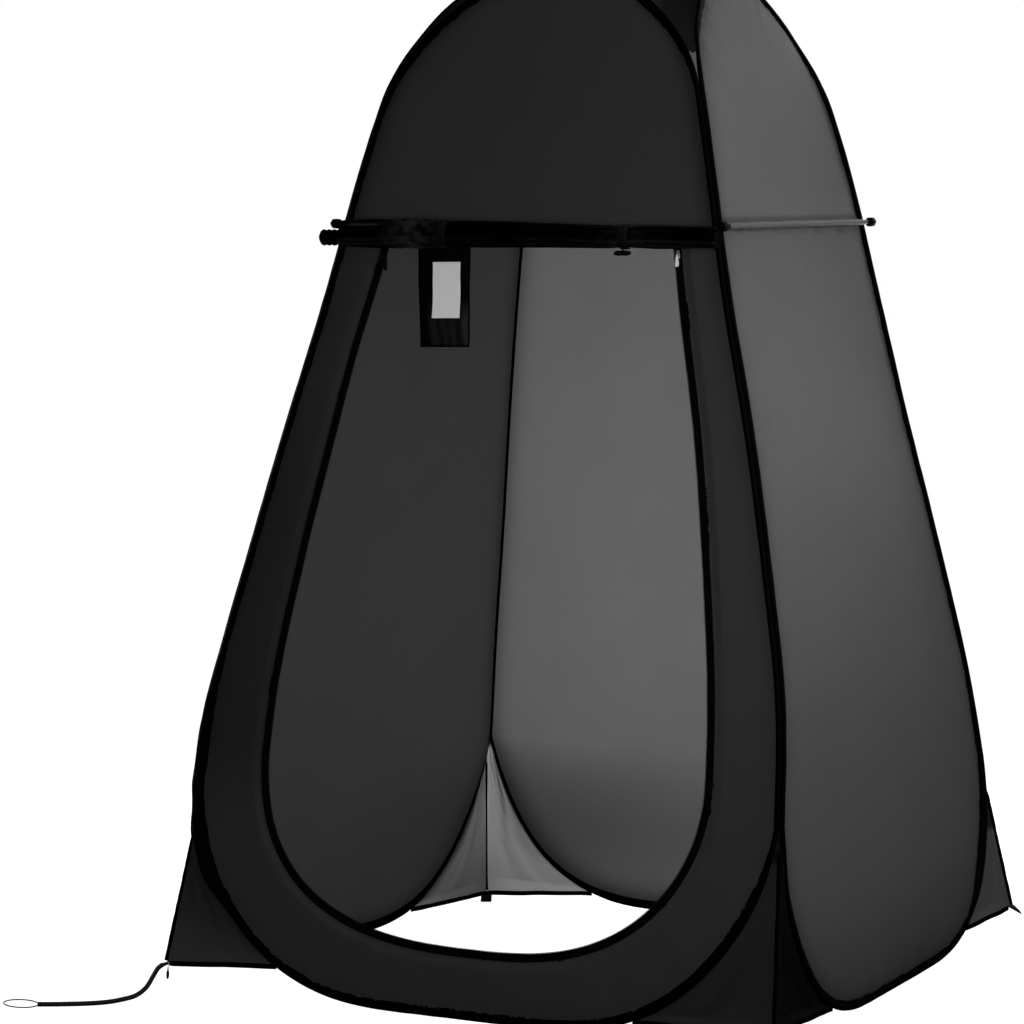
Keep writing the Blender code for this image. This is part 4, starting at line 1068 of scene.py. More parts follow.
def gusset(k, f, s, seed):
    g, diag, top, foot = corner_lines(k)
    i0, i1 = fine(HEM_I[k]), fine(N_LOW)
    mid, n, e, t, hw, ht = side(f, s, i0, i1)
    x = np.linspace(0, N_LOW - HEM_I[k], len(mid))
    last = N_LOW - 2 - HEM_I[k]
    pts = mid + e * (hw - 0.0020)[:, None]
    level = (top[2] - pts[:, 2]) / (top[2] - foot[2])
    even = 1 - 0.92 * x / last
    w = 0.65 * np.clip(np.minimum(x, 1.0), 0, 1)
    w = w + (1 - w) * smooth((x - last + 1.5) / 1.5)
    q = np.minimum(even * (1 - w) + level * w, 1.0)
    down = unit(foot - top)
    # above the ridge tape the two gussets close up along the corner
    R = np.where(q[:, None] > 0, top + (foot - top) * q[:, None],
                 corner(k, np.minimum(pts[:, 2], SEAM_LO[k])) + (top - corner(k, top[2])))
    way = pts - R
    way = unit(way - down * dot(way, down))
    R = R + way * (np.minimum(RIDGE_W / 2 - 0.0015, 0.5 * np.linalg.norm(pts - R, axis=1))
                   * smooth((q + 0.01) / 0.05))[:, None]
    R[0] += (0, 0, -0.0045)
    pts[0] += (0, 0, -0.0045)
    R[1:4] += np.array((0, 0, -0.0045)) * np.array((0.75, 0.5, 0.25))[:, None]
    pts[1:4] += np.array((0, 0, -0.0045)) * np.array((0.75, 0.5, 0.25))[:, None]
    m = 44
    c = columns(m)[None, :, None]
    P = R[:, None] * (1 - c) + pts[:, None] * c
    du = np.gradient(P, axis=1)
    dv = np.gradient(P, axis=0)
    nn = unit(np.cross(dv, du))
    if (nn * outward(f)).sum() < 0:
        nn = -nn
    # soft folds that run from the top of the gusset down to the hem
    share = c[..., 0]
    width = np.linalg.norm(pts - R, axis=1)[:, None]
    body = np.sin(math.pi * share) ** 0.8
    off = -0.010 * body * np.clip(width / 0.15, 0, 1)
    ang = share * 3.2 + 0.6 * noise1(np.linspace(0, 3, len(pts)), seed)[:, None]
    off = off + 0.0040 * noise1(ang * 1.6, seed + 1) * body * np.clip(width / 0.12, 0, 1)
    off = off + 0.0012 * noise2(share * 9, np.linspace(0, 7, len(pts))[:, None], seed + 2) * body
    sd = lengths(pts)[:, None]
    off = off + 0.0007 * noise1(sd / 0.009, seed + 3) * np.exp(-(1 - share) * width / 0.012)
    # flat where it is sewn to the hem
    off = off * smooth(sd / 0.035)
    P = P + nn * off[..., None]
    S = Shape()
    S.grid(P, U=P @ across(f), V=P[..., 2])
    name = "gusset_%s_%s" % (k, f)
    ob = S.make(name + "_cloth", GUSSET[(k, f)], name, "black_polyester" if f == "front" else "black_polyester_thin",
                facing=outward(f), sharp=None)
    # painted shade: darker beside the hoop's sleeve, and on the two bl gussets darker towards the hem, the left one
    # most by the ridge
    v = 0.40 * np.exp(-(1 - share) * width / 0.006)
    if (k, f) == ("bl", "left"):
        v = v + (1 - v) * 0.50 * smooth((0.60 - sd / sd.max()) / 0.55) * (1 - 0.35 * share)
    if (k, f) == ("bl", "back"):
        v = v + (1 - v) * 0.24 * smooth((0.60 - sd / sd.max()) / 0.55)
    # painted shadow: almost black above the apex height, between the two sleeves
    apex = {"fl": 0.268, "fr": 0.322, "br": 0.200, "bl": 0.298}[k]
    v = v + (1 - v) * 0.92 * smooth((P[..., 2] - apex) / 0.016)
    # painted shade: the fl front gusset darker away from its hem, leaving a lighter strip along it
    if (k, f) == ("fl", "front"):
        v = v + (1 - v) * 0.40 * smooth((sd - 0.03) / 0.12)
    shade(ob, v)
    return ob


# the gussets' cloths carry painted light and shade: the darker shaded copy on the front ones, the near-black painted
# shadow copy on the fr right one, the lighter front cloth on the fl front one, the painted glow copy at bl
GUSSET = {(k, f): (SHADED if f == "front" else THIN) for k, ends in ENDS.items() for f, _ in ends}
GUSSET[("fr", "right")] = PAINTED_SHADOW_CLOTH
GUSSET[("fl", "front")] = CLOTH
GUSSET[("bl", "left")] = GUSSET[("bl", "back")] = GUSSET_GLOW_CLOTH


def tape_section(width, thick, groove=0.0):
    w, h = width / 2, thick / 2
    a = np.array((-1.0, -0.92, -0.62, -0.30, 0.0, 0.30, 0.62, 0.92, 1.0))
    b = np.array((0.0, 0.62, 0.95, 1.0, 1.0 - groove, 1.0, 0.95, 0.62, 0.0))
    up = np.stack([a * w, b * h], -1)
    down = np.stack([a[1:-1] * w, -b[1:-1] * h], -1)[::-1]
    return np.concatenate([up, down])


def corner_tapes(k, seed):
    g, diag, top, foot = corner_lines(k)
    n = 96
    P = top + (foot - top) * np.linspace(-0.016 / np.linalg.norm(foot - top), 1, n)[:, None]
    sideways = np.array((-diag[1], diag[0], 0.0))
    t = tangents(P)
    A = unit(sideways - t * dot(np.broadcast_to(sideways, t.shape), t))
    B = unit(np.cross(t, A))
    d = lengths(P)
    sway = 0.0007 * noise1(d / 0.05, seed)
    P = P + A * sway[:, None]
    sec = np.broadcast_to(tape_section(RIDGE_W, RIDGE_T, 0.7), (n, 16, 2)).copy()
    sec *= ((1 + 0.10 * noise1(d / 0.012, seed + 1)) * (0.55 + 0.45 * smooth(d / 0.020)))[:, None, None]
    sec[..., 1] *= {"fl": 1.4, "br": 1.9}.get(k, 1.0)
    s = Shape()
    s.tube(P, A, B, sec, dome=0.001)
    ridge = s.make("ridge_tape_" + k, BINDING, "ridge_" + k, "black_binding_tape", sharp=50)
    # hems: from each hoop to the corner's foot, and round it
    hems = []
    for f, sg in ENDS[k]:
        mid, nn, e, tt, hw, ht = side(f, sg, fine(HEM_I[k]), fine(HEM_I[k] + 1))
        q = mid + e * (hw + 0.0010)[:, None]
        al, way = unit(q[-1] - q[0]), unit(g - q[0])
        sine = np.linalg.norm(np.cross(al, way))
        start = max(0.0, HEM_W / 2 * float(al @ way) / sine) + 0.0002 / sine
        # its end is tucked into the hoop's sleeve
        hems.append(q[0] + way * (start - 0.0085))
    a, b = hems
    bend = 0.012
    ga, gb = unit(a - g), unit(b - g)
    path = np.array([a, a * 0.5 + g * 0.5, g + ga * bend, g + (ga + gb) * bend * 0.30, g + gb * bend, b * 0.5 + g * 0.5, b])
    path = np.concatenate([along(path[:3], 60)[:-1], along(path[2:5], 12), along(path[4:], 60)[1:]])
    for _ in range(3):
        path[1:-1] = 0.25 * path[:-2] + 0.5 * path[1:-1] + 0.25 * path[2:]
    d = lengths(path)
    t = tangents(path)
    A = unit(ZUP - t * t[:, 2:])
    B = unit(np.cross(t, A))
    ends = smooth(d / 0.03) * smooth((d[-1] - d) / 0.03)
    path = path + B * (0.0012 * noise1(d / 0.035, seed + 3) * ends)[:, None] + ZUP * (0.0008 * noise1(d / 0.05, seed + 4) * ends)[:, None]
    sec = np.broadcast_to(tape_section(HEM_W, HEM_T * 0.8, 0.1), (len(path), 16, 2)).copy()
    sec[..., 1] *= (1 + 0.15 * noise1(d / 0.01, seed + 5))[:, None]
    s = Shape()
    s.tube(path, A, B, sec)
    hem = s.make("hem_tape_" + k, BINDING, "hem_" + k, "black_binding_tape", sharp=50)
    return ridge, hem


def peg_loop(k):
    g, diag, top, foot = corner_lines(k)
    down = unit(np.array((diag[0], diag[1], -0.75)))
    sd = np.array((-diag[1], diag[0], 0.0))
    base = g + diag * 0.0045 + down * 0.0020
    if k == "fl":
        down, sd = unit(np.array((0, -0.1, -1.0))), np.array((1.0, 0, 0))
        base = g + np.array((0.015, 0, -0.0065))
    if k == "bl":
        down = unit(np.array((0.45, -0.9, -0.03)))
        sd = unit(np.array((-down[1], down[0], 0)))
        base = g + down * 0.0188
    t = np.linspace(0, 2 * math.pi, 73)[:-1]
    nn = unit(np.cross(down, sd))
    s = Shape()
    if k == "bl":
        # wide webbing folded flat on the ground, its loop open sideways
        c = base + down * (0.0330 + 0.0300 * np.cos(t))[:, None] + nn * (0.0026 * np.sin(t))[:, None]
        rad = unit(down * (0.0026 * np.cos(t))[:, None] + nn * (0.0300 * np.sin(t))[:, None])
        s.tube(c, np.broadcast_to(sd, rad.shape), rad, tape_section(0.0230, 0.0016), closed=True)
    else:
        low = 0.5 + 0.5 * np.cos(t)
        if k == "fl":
            # its two strands run close together and open at the end like a leaf
            base = base - np.array((0.0105, 0, -0.0030))
            c = base + down * (0.0115 + 0.0125 * np.cos(t))[:, None] + sd * (0.0020 * np.sin(t) * low)[:, None]
            size = 0.40 + 0.60 * smooth((low - 0.35) / 0.3)
        elif k == "br":
            # lies against the corner's foot and ends in a point
            c = base + down * (0.0075 + 0.0145 * np.cos(t))[:, None] + sd * (0.0050 * np.sin(t) * (1 - 0.5 * np.cos(t)))[:, None]
            size = 2.3 - 1.7 * low
        else:
            c = base + down * (0.0125 + 0.0095 * np.cos(t))[:, None] + sd * (0.0070 * np.sin(t) * (1 - 0.25 * np.cos(t)))[:, None]
            size = 1.0 + 0 * t
        rad = unit(down * np.cos(t)[:, None] + sd * np.sin(t)[:, None])
        sec = np.broadcast_to(tape_section(0.0042, 0.0042 if k == "br" else 0.0018), (len(t), 16, 2)) * size[:, None, None]
        s.tube(c, rad, np.broadcast_to(nn, rad.shape), sec, closed=True)
    return s.make("peg_webbing_" + k, WEBBING, "peg_loop_" + k, "black_webbing", sharp=50)


# ------------------------------------------------------------------ the poles

POLE_R, POLE_OUT = 0.004, 0.0166


def pole_axis(name):
    ka, kb = {"right": ("fr", "br"), "left": ("bl", "fl")}[name]
    a, b = corner(ka, ROD_Z[ka]), corner(kb, ROD_Z[kb])
    way = unit(b - a)
    flat = unit(np.array((way[0], way[1], 0)))
    out = np.array((flat[1], -flat[0], 0.0))
    up = unit(np.cross(out, way))
    if up[2] < 0:
        up = -up
    return a + out * POLE_OUT, b + out * POLE_OUT, way, out, up, ka, kb


def ring(r, sides):
    t = 2 * math.pi * np.arange(sides) / sides
    return np.stack([np.cos(t) * r, np.sin(t) * r], -1)


def side_pole(name):
    a, b, way, out, up, ka, kb = pole_axis(name)
    ends = {"fr": 0.0240, "br": 0.034, "bl": 0.034, "fl": 0.026}
    p0, p1 = a - way * ends[ka], b + way * ends[kb]
    s = Shape()
    n = 60
    P = p0 + (p1 - p0) * np.linspace(0.01, 0.99, n)[:, None]
    A, B = np.broadcast_to(out, P.shape), np.broadcast_to(up, P.shape)
    s.tube(P, A, B, ring(POLE_R, 16))
    # moulded tips with six flats, a collar and a rounded nose
    for p, w in ((p0, way), (p1, -way)):
        x = np.array((0.0, 0.0006, 0.0022, 0.0080, 0.0090, 0.0100, 0.0108, 0.0176, 0.0192, 0.0198))
        r = np.array((0.0050, 0.0078, 0.0092, 0.0095, 0.0082, 0.0082, 0.0095, 0.0093, 0.0080, 0.0043))
        Q = p + w * x[:, None]
        sec = np.stack([ring(v * 1.04, 12) * np.where(np.arange(12) % 2, 0.93, 1.0)[:, None] for v in r])
        s.tube(Q, np.broadcast_to(out, Q.shape), np.broadcast_to(up, Q.shape), sec, dome=0.0004)
    return s.make("pole_" + name, ROD, "side_pole_" + name, "black_coated_rod", sharp=28)


def pole_tunnel(name):
    """A tunnel of the panels' cloth round the pole, sewn flat above and below."""
    a, b, way, out, up, ka, kb = pole_axis(name)
    inset = 0.012
    L = float(np.linalg.norm(b - a)) - 2 * inset
    n = int(L / 0.0035)
    d = np.linspace(0, L, n + 1)
    P = a + way * (inset + d)[:, None]
    # from the lower seam, out round the pole and back to the upper seam
    t = np.linspace(-1, 1, 31)
    r = 0.0058
    ang = t * math.radians(128)
    x = r * np.cos(ang)
    y = r * np.sin(ang)
    back = -(POLE_OUT - 0.0022)
    S = np.stack([x, y], -1)
    lo = np.stack([np.linspace(back, S[0, 0], 9)[:-1], np.linspace(-0.0058, S[0, 1], 9)[:-1]], -1)
    hi = np.stack([np.linspace(S[-1, 0], back, 9)[1:], np.linspace(S[-1, 1], 0.0058, 9)[1:]], -1)
    hem_lo = np.array(((back - 0.0004, -0.0125), (back + 0.0007, -0.0120), (back + 0.0008, -0.0090)))
    hem_hi = np.array(((back + 0.0008, 0.0085), (back + 0.0007, 0.0105), (back - 0.0004, 0.0110)))
    S = np.concatenate([hem_lo, lo, S, hi, hem_hi])
    S = np.broadcast_to(S, (len(P),) + S.shape).copy()
    w = np.linspace(0, 1, S.shape[1])[None]
    loose = np.sin(math.pi * w) ** 0.5
    S[..., 0] += 0.0006 * noise2(d[:, None] / 0.02, w * 5, 91) * loose
    S[..., 1] += 0.0005 * noise1(d / 0.007, 92)[:, None] * np.exp(-w / 0.25) + 0.0007 * noise1(d / 0.05, 93)[:, None]
    # at the ends the tunnel narrows into the corner
    end = np.minimum(smooth(d / 0.03), smooth((L - d) / 0.03))[:, None]
    S[..., 1] *= 0.80 + 0.20 * end
    R = P[:, None] + out * S[..., :1] + up * S[..., 1:]
    s = Shape()
    V = np.concatenate([[0], np.cumsum(np.linalg.norm(np.diff(S[n // 2], axis=0), axis=1))])
    s.grid(R, U=d, V=V + 1.4)
    ob = s.make("pole_tunnel_" + name, THIN, "pole_sleeve_" + name, "black_polyester_thin",
                facing=out, sharp=None)
    return ob


# ------------------------------------------------------------ the rolled door

ROLL_R, ROLL_OUT, ROLL_Z = 0.0185, 0.0300, (1.413, 1.398)
XL, XR = float(corner("fl", 1.412)[0]), float(corner("fr", 1.403)[0])


def roll_axis(x):
    x = np.asarray(x, float)
    s = (x - XL) / (XR - XL)
    z = ROLL_Z[0] + (ROLL_Z[1] - ROLL_Z[0]) * s
    y = -half(z)
    near = smooth((s - 0.045) / 0.06) * smooth((0.955 - s) / 0.06)
    back = y - 0.0105 + near * 0.0075
    front = y - ROLL_OUT - ROLL_R
    depth = (back - front) / 2
    height = ROLL_R + 0.0024 - 0.0020 * s + 0.0008 * np.sin(9.0 * s) + 0.0010 * near
    lift = 0.0042 * (1 - smooth((s - 0.35) / 0.50))
    end = smooth((0.0176 - s) / 0.0070)
    z = z + lift * (1 - end) - 0.0034 * end
    height = (height + lift) * (1 - end) + 0.0145 * end
    return np.stack([x, (back + front) / 2, z], -1), depth * (1 - 0.30 * end), height


def door_roll():
    x0, x1 = XL - 0.0345, XR + 0.0140
    n, m = 290, 56
    x = np.linspace(x0, x1, n + 1)
    c, d, h = roll_axis(x)
    ang = np.linspace(0, 2 * math.pi, m + 1)[:-1]
    A = ang[None]
    X = x[:, None]
    # creases run along the roll, where one turn ends on the next
    lay = 0.0010 * noise1(A / (2 * math.pi) * 9 + 0.35 * noise1(X / 0.09, 101), 102)
    lay = lay + 0.0006 * noise2(X / 0.05, A * 2.2, 103)
    step = 0.0016 * smooth((np.sin(A - 2.4 + 0.25 * noise1(X / 0.15, 104)) - 0.93) / 0.05)
    tie = np.zeros_like(x)
    for tx in (-0.134, 0.234):
        tie += np.exp(-((x - tx) / 0.020) ** 2)
    tie = np.clip(tie, 0, 1)[:, None]
    near = np.zeros_like(x)
    for tx, wide, most in ((-0.200, 0.050, 1.0), (0.234, 0.055, 0.40)):
        near += most * np.exp(-((x - tx) / wide) ** 2)
    near = np.clip(near, 0, 1)[:, None]
    gather = 0.0016 * noise1(A / (2 * math.pi) * 17 + 2.0 * noise1(X / 0.03, 105), 106) * near
    r = lay + step + gather - 0.0026 * tie
    # the left end shows its turns, pushed out one past the other
    turn = smooth((x0 + 0.0445 - x) / 0.004)[:, None]
    ridge = (0.0034 * (np.abs(np.sin((x - x0) / 0.0115 * math.pi)) ** 0.7 - 0.75))[:, None]
    r = r * (1 - turn) + ridge * turn
    R = np.empty((n + 1, m, 3))
    R[..., 0] = X
    R[..., 1] = c[:, 1:2] + np.cos(A) * (d[:, None] + r)
    R[..., 2] = c[:, 2:3] + np.sin(A) * (h[:, None] + r)
    for i, k in ((0, 0.80), (1, 0.93), (n, 0.80), (n - 1, 0.94)):
        o = c[i]
        R[i] = o + (R[i] - o) * k
    s = Shape()
    per = float(2 * math.pi * 0.021)
    start = s.grid(R, U=np.append(x, x[-1]), V=np.linspace(0, per, m + 1), closed_v=True)
    for i, sg in ((0, -1), (n, 1)):
        # spiral end, turned in
        o = c[i]
        prev = R[i]
        rings = [prev]
        for q, k in enumerate((0.86, 0.80, 0.70, 0.64, 0.52, 0.46, 0.32, 0.26, 0.12)):
            dx = (0.0016 if q % 2 else -0.0004) * sg
            z = o + (R[i] - o) * k + np.array((dx, 0, 0))
            rings.append(z)
        E = np.array(rings)
        b = s.grid(E, U=np.linspace(0, 0.02, len(E) + 1), V=np.linspace(0, per, m + 1), closed_v=True)
        s.fan(b + (len(E) - 1) * m + np.arange(m), o, flip=True)
    ob = s.make("door_rolled", ROLLED, "door_roll", "black_polyester", sharp=None)
    # painted highlights where the ties gather the cloth; elsewhere painted shade keeps the roll nearly black
    roll_highlight = 0.0 + 1.3 * np.clip(near - 0.15, 0, 1) * (0.5 + 0.5 * noise2(X / 0.012, A * 2.5, 107)) + 0 * A
    # painted highlight streaks along it, and a painted highlight on one turn's edge near its left end
    across_it = R[..., 2] - c[:, 2:3]
    highlight_streak = np.clip(noise1(across_it / 0.0045 + 0.5 * noise1(X / 0.10, 108), 109), 0, 1) ** 2
    roll_highlight = roll_highlight + 0.70 * highlight_streak * (0.5 + 0.5 * noise1(X / 0.05, 110))
    roll_highlight = roll_highlight + 0.9 * np.exp(-((across_it - 0.0165) / 0.0016) ** 2) * smooth((x + 0.335) / 0.008)[:, None] * smooth((-0.262 - x) / 0.008)[:, None]
    roll_highlight = np.clip(roll_highlight, 0, 1)
    v = np.full(len(ob.data.vertices), 0.9)
    v[:roll_highlight.size] = 1 - roll_highlight.ravel()
    v[roll_highlight.size:] = 0.97
    shade(ob, v)
    return ob


def door_tie(name, x):
    c, d, h = roll_axis(x)
    n = 72
    # the strap goes round the front, from the seam above to the seam below
    ang = np.radians(np.linspace(100, 260, n))
    P = np.stack([np.full(n, x), c[1] + np.cos(ang) * (d + 0.0002), c[2] + np.sin(ang) * (h + 0.0002)], -1)
    tt = tangents(P)
    A = np.broadcast_to(np.array((1.0, 0, 0)), P.shape)
    B = unit(np.cross(tt, A))
    if B[n // 2][1] > 0:
        B = -B
    s = Shape()
    s.tube(P, A, B, tape_section(0.0195, 0.0022))
    return s.make("door_strap_" + name, TIE, "door_tie_" + name, "black_webbing", sharp=50)


def door_toggle():
    c, d, h = roll_axis(0.226)
    z = c[2] - h - 0.0078
    s = Shape()
    x = np.linspace(-0.0168, 0.0168, 33)
    r = 0.0052 * np.sqrt(np.clip(1 - (x / 0.0172) ** 4, 0, 1)) * (1 - 0.16 * np.exp(-(x / 0.003) ** 2))
    P = np.stack([0.226 + x, np.full(33, c[1]), np.full(33, z)], -1)
    A = np.broadcast_to((0.0, 1.0, 0.0), P.shape)
    B = np.broadcast_to((0.0, 0.0, 1.0), P.shape)
    sec = np.stack([ring(max(v, 0.0012), 20) for v in r])
    sec[..., 1] *= 0.92
    s.tube(P, A, B, sec, dome=0.0006)
    # cord that it hangs by
    q = np.linspace(0, 1, 12)[:, None]
    p0, p1 = np.array((0.226, c[1], z + 0.003)), np.array((0.228, c[1] + 0.002, z + 0.0105))
    Q = p0 + (p1 - p0) * q
    t = tangents(Q)
    A = unit(np.cross(t, (0.0, 1.0, 0.0)))
    s.tube(Q, A, np.cross(t, A), ring(0.0014, 10))
    return s.make("toggle", PLASTIC, "door_toggle", "black_plastic", sharp=45)


def slider(name):
    P, a, n, t = DOOR
    first = name == "left"
    i = 0 if first else len(P) - 1
    nrm = face_normal("front", P[i, 2])
    c = P[i] + nrm * 0.0045 + t[i] * (0.027 if first else -0.031)
    way = t[i] if first else -t[i]
    s = Shape()
    x = np.array((-0.0074, -0.0070, -0.0050, -0.0020, 0.0010, 0.0045, 0.0068, 0.0074))
    w = np.array((0.0026, 0.0032, 0.0036, 0.0042, 0.0044, 0.0042, 0.0036, 0.0028))
    Q = c + way * x[:, None]
    sec = np.stack([tape_section(v * 2, 0.0046) for v in w])
    s.tube(Q, np.broadcast_to(a[i], Q.shape), np.broadcast_to(nrm, Q.shape), sec, dome=0.0003)
    # bridge that carries the pull
    q = np.linspace(0, math.pi, 18)
    B = c + way * (0.0045 * np.cos(q))[:, None] + nrm * (0.0020 + 0.0026 * np.sin(q))[:, None]
    tt = tangents(B)
    A = np.broadcast_to(a[i], B.shape)
    s.tube(B, A, unit(np.cross(tt, A)), tape_section(0.0026, 0.0010))
    mat = PLASTIC if first else SILVER
    body = s.make("slider_" + name, mat, "zip_slider_" + name, "black_plastic" if first else "silver_metal", sharp=30)
    start = c + nrm * 0.0052 - ZUP * 0.001
    s = Shape()
    if first:
        start = start + np.array((0.0125, 0, 0.010))
        q = np.linspace(0, 0.036, 26)
        Q = start - ZUP * q[:, None] + np.array((0.0006, 0, 0)) * np.sin(q / 0.036 * 5)[:, None]
        tt = tangents(Q)
        A = unit(np.cross(tt, (0.0, 1.0, 0.0)))
        r = np.where(q > 0.020, 0.0033, 0.0016 + 0.0012 * (q / 0.020))
        sec = np.stack([ring(v, 12) for v in r])
        s.tube(Q, A, np.cross(tt, A), sec, dome=0.0005)
        # short cord from the slider's bridge to the pull
        q = np.linspace(0, 1, 14)[:, None]
        L = (c + nrm * 0.0042) * (1 - q) + start * q + nrm * (0.0012 * np.sin(math.pi * q))
        tt = tangents(L)
        A = unit(np.cross(tt, (0.0, 1.0, 0.1)))
        s.tube(L, A, np.cross(tt, A), ring(0.0009, 8))
        pull = s.make("pull_cord", TIE, "zip_pull_left", "black_webbing", sharp=50)
    else:
        x = np.array((0.0, 0.0008, 0.0036, 0.0080, 0.0150, 0.0190, 0.0208, 0.0215))
        w = np.array((0.0014, 0.0019, 0.0026, 0.0031, 0.0040, 0.0040, 0.0030, 0.0018))
        Q = start - ZUP * x[:, None]
        A = np.broadcast_to((1.0, 0, 0), Q.shape)
        B = np.broadcast_to((0.0, -1.0, 0), Q.shape)
        sec = np.stack([tape_section(v * 2, 0.0016, 0.35 if 0.004 < xx < 0.024 else 0.0) for v, xx in zip(w, x)])
        s.tube(Q, A, B, sec, dome=0.0002)
        pull = s.make("pull_metal", SILVER, "zip_pull_right", "silver_metal", sharp=35)
    return body, pull


# ----------------------------------------------------------------- the pocket

POCKET_X, POCKET_W, POCKET_H = -0.1605, 0.111, 0.236


def pocket():
    top = 1.440
    y = float(-half(top)) + 0.0108
    n, m = 90, 44
    r = np.linspace(0, 1, n)[:, None]
    q = np.linspace(-1, 1, m)[None]
    w = POCKET_W / 2 * (1 - 0.09 * r)
    x = POCKET_X + w * q + 0.0006 * np.sin(r * 9)
    z = top - POCKET_H * r + 0 * q
    # the pocket's front hangs a little open below, with creases at its foot
    belly = (0.0010 + 0.0036 * smooth(r / 0.45)) * np.sqrt(np.clip(1 - q ** 2, 0, 1)) ** 0.8
    foot = smooth((r - 0.62) / 0.25)
    crease = 0.0012 * noise1(q * 7 + 0.8 * noise1(r * 6, 111), 112) * foot + 0.0007 * noise2(q * 4, r * 6, 113)
    front = -(belly * smooth((1.0 - r) / 0.03) + crease * np.clip(1 - np.abs(q) ** 6, 0, 1) * smooth((1 - r) / 0.02)) - 0.0006
    back = 0.0012 + 0.0006 * noise2(q * 3, r * 5, 114) * np.clip(1 - q ** 4, 0, 1)
    F = np.stack([x, y + front, z], -1)
    B = np.stack([x, y + back + 0 * q, z], -1)
    s = Shape()
    loop = np.concatenate([F, B[:, ::-1]], 1)
    start = s.grid(loop, U=np.concatenate([x, x[:, ::-1], x[:, :1]], 1), V=np.concatenate([z, z, z[:, :1]], 1), closed_v=True)
    k = loop.shape[1]
    s.fan(start + np.arange(k), loop[0].mean(0))
    s.fan(start + (n - 1) * k + np.arange(k), loop[-1].mean(0), flip=True)
    ob = s.make("pocket_cloth", POCKET, "inner_pocket", "black_polyester", sharp=60)
    # painted shade keeps the pocket nearly black, with painted highlight streaks over the creases low on its front
    v = np.full(len(ob.data.vertices), 0.8)
    painted_shine = smooth((r - 0.60) / 0.20) * np.clip(0.35 + 0.75 * noise1(q * 6 + 0.7 * noise1(r * 5, 119), 120), 0, 1)
    painted_shine = np.concatenate([painted_shine + 0 * x, 0 * x], 1)
    v[:painted_shine.size] = (0.97 * (1 - painted_shine)).ravel()
    shade(ob, v)
    # bound mouth and edges
    t = Shape()
    for xs in (-1, 1):
        rr = np.linspace(0.0, 1, 80)
        P = np.stack([POCKET_X + xs * (POCKET_W / 2 * (1 - 0.09 * rr) - 0.0012) + 0.0006 * np.sin(rr * 9),
                      y - 0.0004 + 0.0004 * noise1(rr * 12, 115 + xs), top - POCKET_H * rr], -1)
        tt = tangents(P)
        A = np.broadcast_to((1.0, 0, 0), P.shape)
        t.tube(P, A, unit(np.cross(tt, A)), tape_section(0.0050, 0.0026))
    xx = np.linspace(-1, 1, 60)
    P = np.stack([POCKET_X + xx * POCKET_W / 2 * 0.915, y - 0.0006 + 0.0006 * noise1(xx * 6, 118), np.full(60, top - POCKET_H + 0.0026)], -1)
    tt = tangents(P)
    A = np.broadcast_to((0.0, 0, 1.0), P.shape)
    t.tube(P, A, unit(np.cross(tt, A)), tape_section(0.0050, 0.0028))
    edge = t.make("pocket_binding", BINDING, (), "black_binding_tape", sharp=50)
    return ob, edge


def care_tag():
    """A blank satin label, sewn on along its top edge."""
    top = 1.440
    y = float(-half(top)) + 0.0108
    cx = POCKET_X + 0.0080
    n, m = 80, 44
    s_ = np.linspace(0, 1, n)[:, None]
    q = np.linspace(-1, 1, m)[None]
    z = 1.362 - 0.104 * s_ + 0 * q
    x = cx + 0.029 * q + 0.0008 * np.sin(s_ * 4.0) * s_
    yy = y - 0.0063 - 0.0030 * smooth(s_) - 0.0010 * np.sin(s_ * 7.5 + q * 0.6) * smooth(s_ * 3) - 0.0005 * q * np.sin(s_ * 5)
    # turned and stitched hems at its two short ends
    hem = smooth((0.062 - s_) / 0.006) + smooth((s_ - 0.938) / 0.006)
    yy = yy - 0.00035 * hem + 0.00025 * (np.exp(-((s_ - 0.055) / 0.006) ** 2) + np.exp(-((s_ - 0.945) / 0.006) ** 2))
    F = np.stack([x, yy + 0 * q, z], -1)
    B = np.stack([x, yy + 0.0005 + 0.0006 * hem + 0 * q, z], -1)
    s = Shape()
    loop = np.concatenate([F, B[:, ::-1]], 1)
    start = s.grid(loop, U=np.concatenate([x, x[:, ::-1], x[:, :1]], 1), V=np.concatenate([z, z, z[:, :1]], 1), closed_v=True)
    k = loop.shape[1]
    s.fan(start + np.arange(k), loop[0].mean(0))
    s.fan(start + (n - 1) * k + np.arange(k), loop[-1].mean(0), flip=True)
    ob = s.make("label_blank", SATIN, "care_tag", "white_satin", sharp=50)
    return ob


# ------------------------------------------------------------------ the strap

STRAP_R = 0.0045
STRAP_Z = STRAP_R + 0.0004
STRAP = (
    (-0.6320, -0.6240, 0.0440), (-0.6335, -0.6380, 0.0395), (-0.6290, -0.6600, 0.0300),
    (-0.6245, -0.6900, 0.0150), (-0.6255, -0.7200, 0.0066), (-0.6310, -0.7480, STRAP_Z),
    (-0.6450, -0.7850, STRAP_Z), (-0.6725, -0.8125, STRAP_Z), (-0.7104, -0.8370, STRAP_Z),
    (-0.7490, -0.8580, STRAP_Z),
)
LOOP_MID, LOOP_A, LOOP_B, LOOP_R = (-0.7900, -0.8540), 0.0375, 0.0270, 0.0012


def smooth_line(points, count):
    p = np.array(points)
    q = np.concatenate([p[:1], p, p[-1:]])
    out = []
    for i in range(len(p) - 1):
        p0, p1, p2, p3 = q[i], q[i + 1], q[i + 2], q[i + 3]
        t = np.linspace(0, 1, 41)[:-1, None]
        out.append(0.5 * (2 * p1 + (p2 - p0) * t + (2 * p0 - 5 * p1 + 4 * p2 - p3) * t * t
                          + (3 * p1 - p0 - 3 * p2 + p3) * t ** 3))
    line = np.concatenate(out + [p[-1:]])
    return along(line, count)


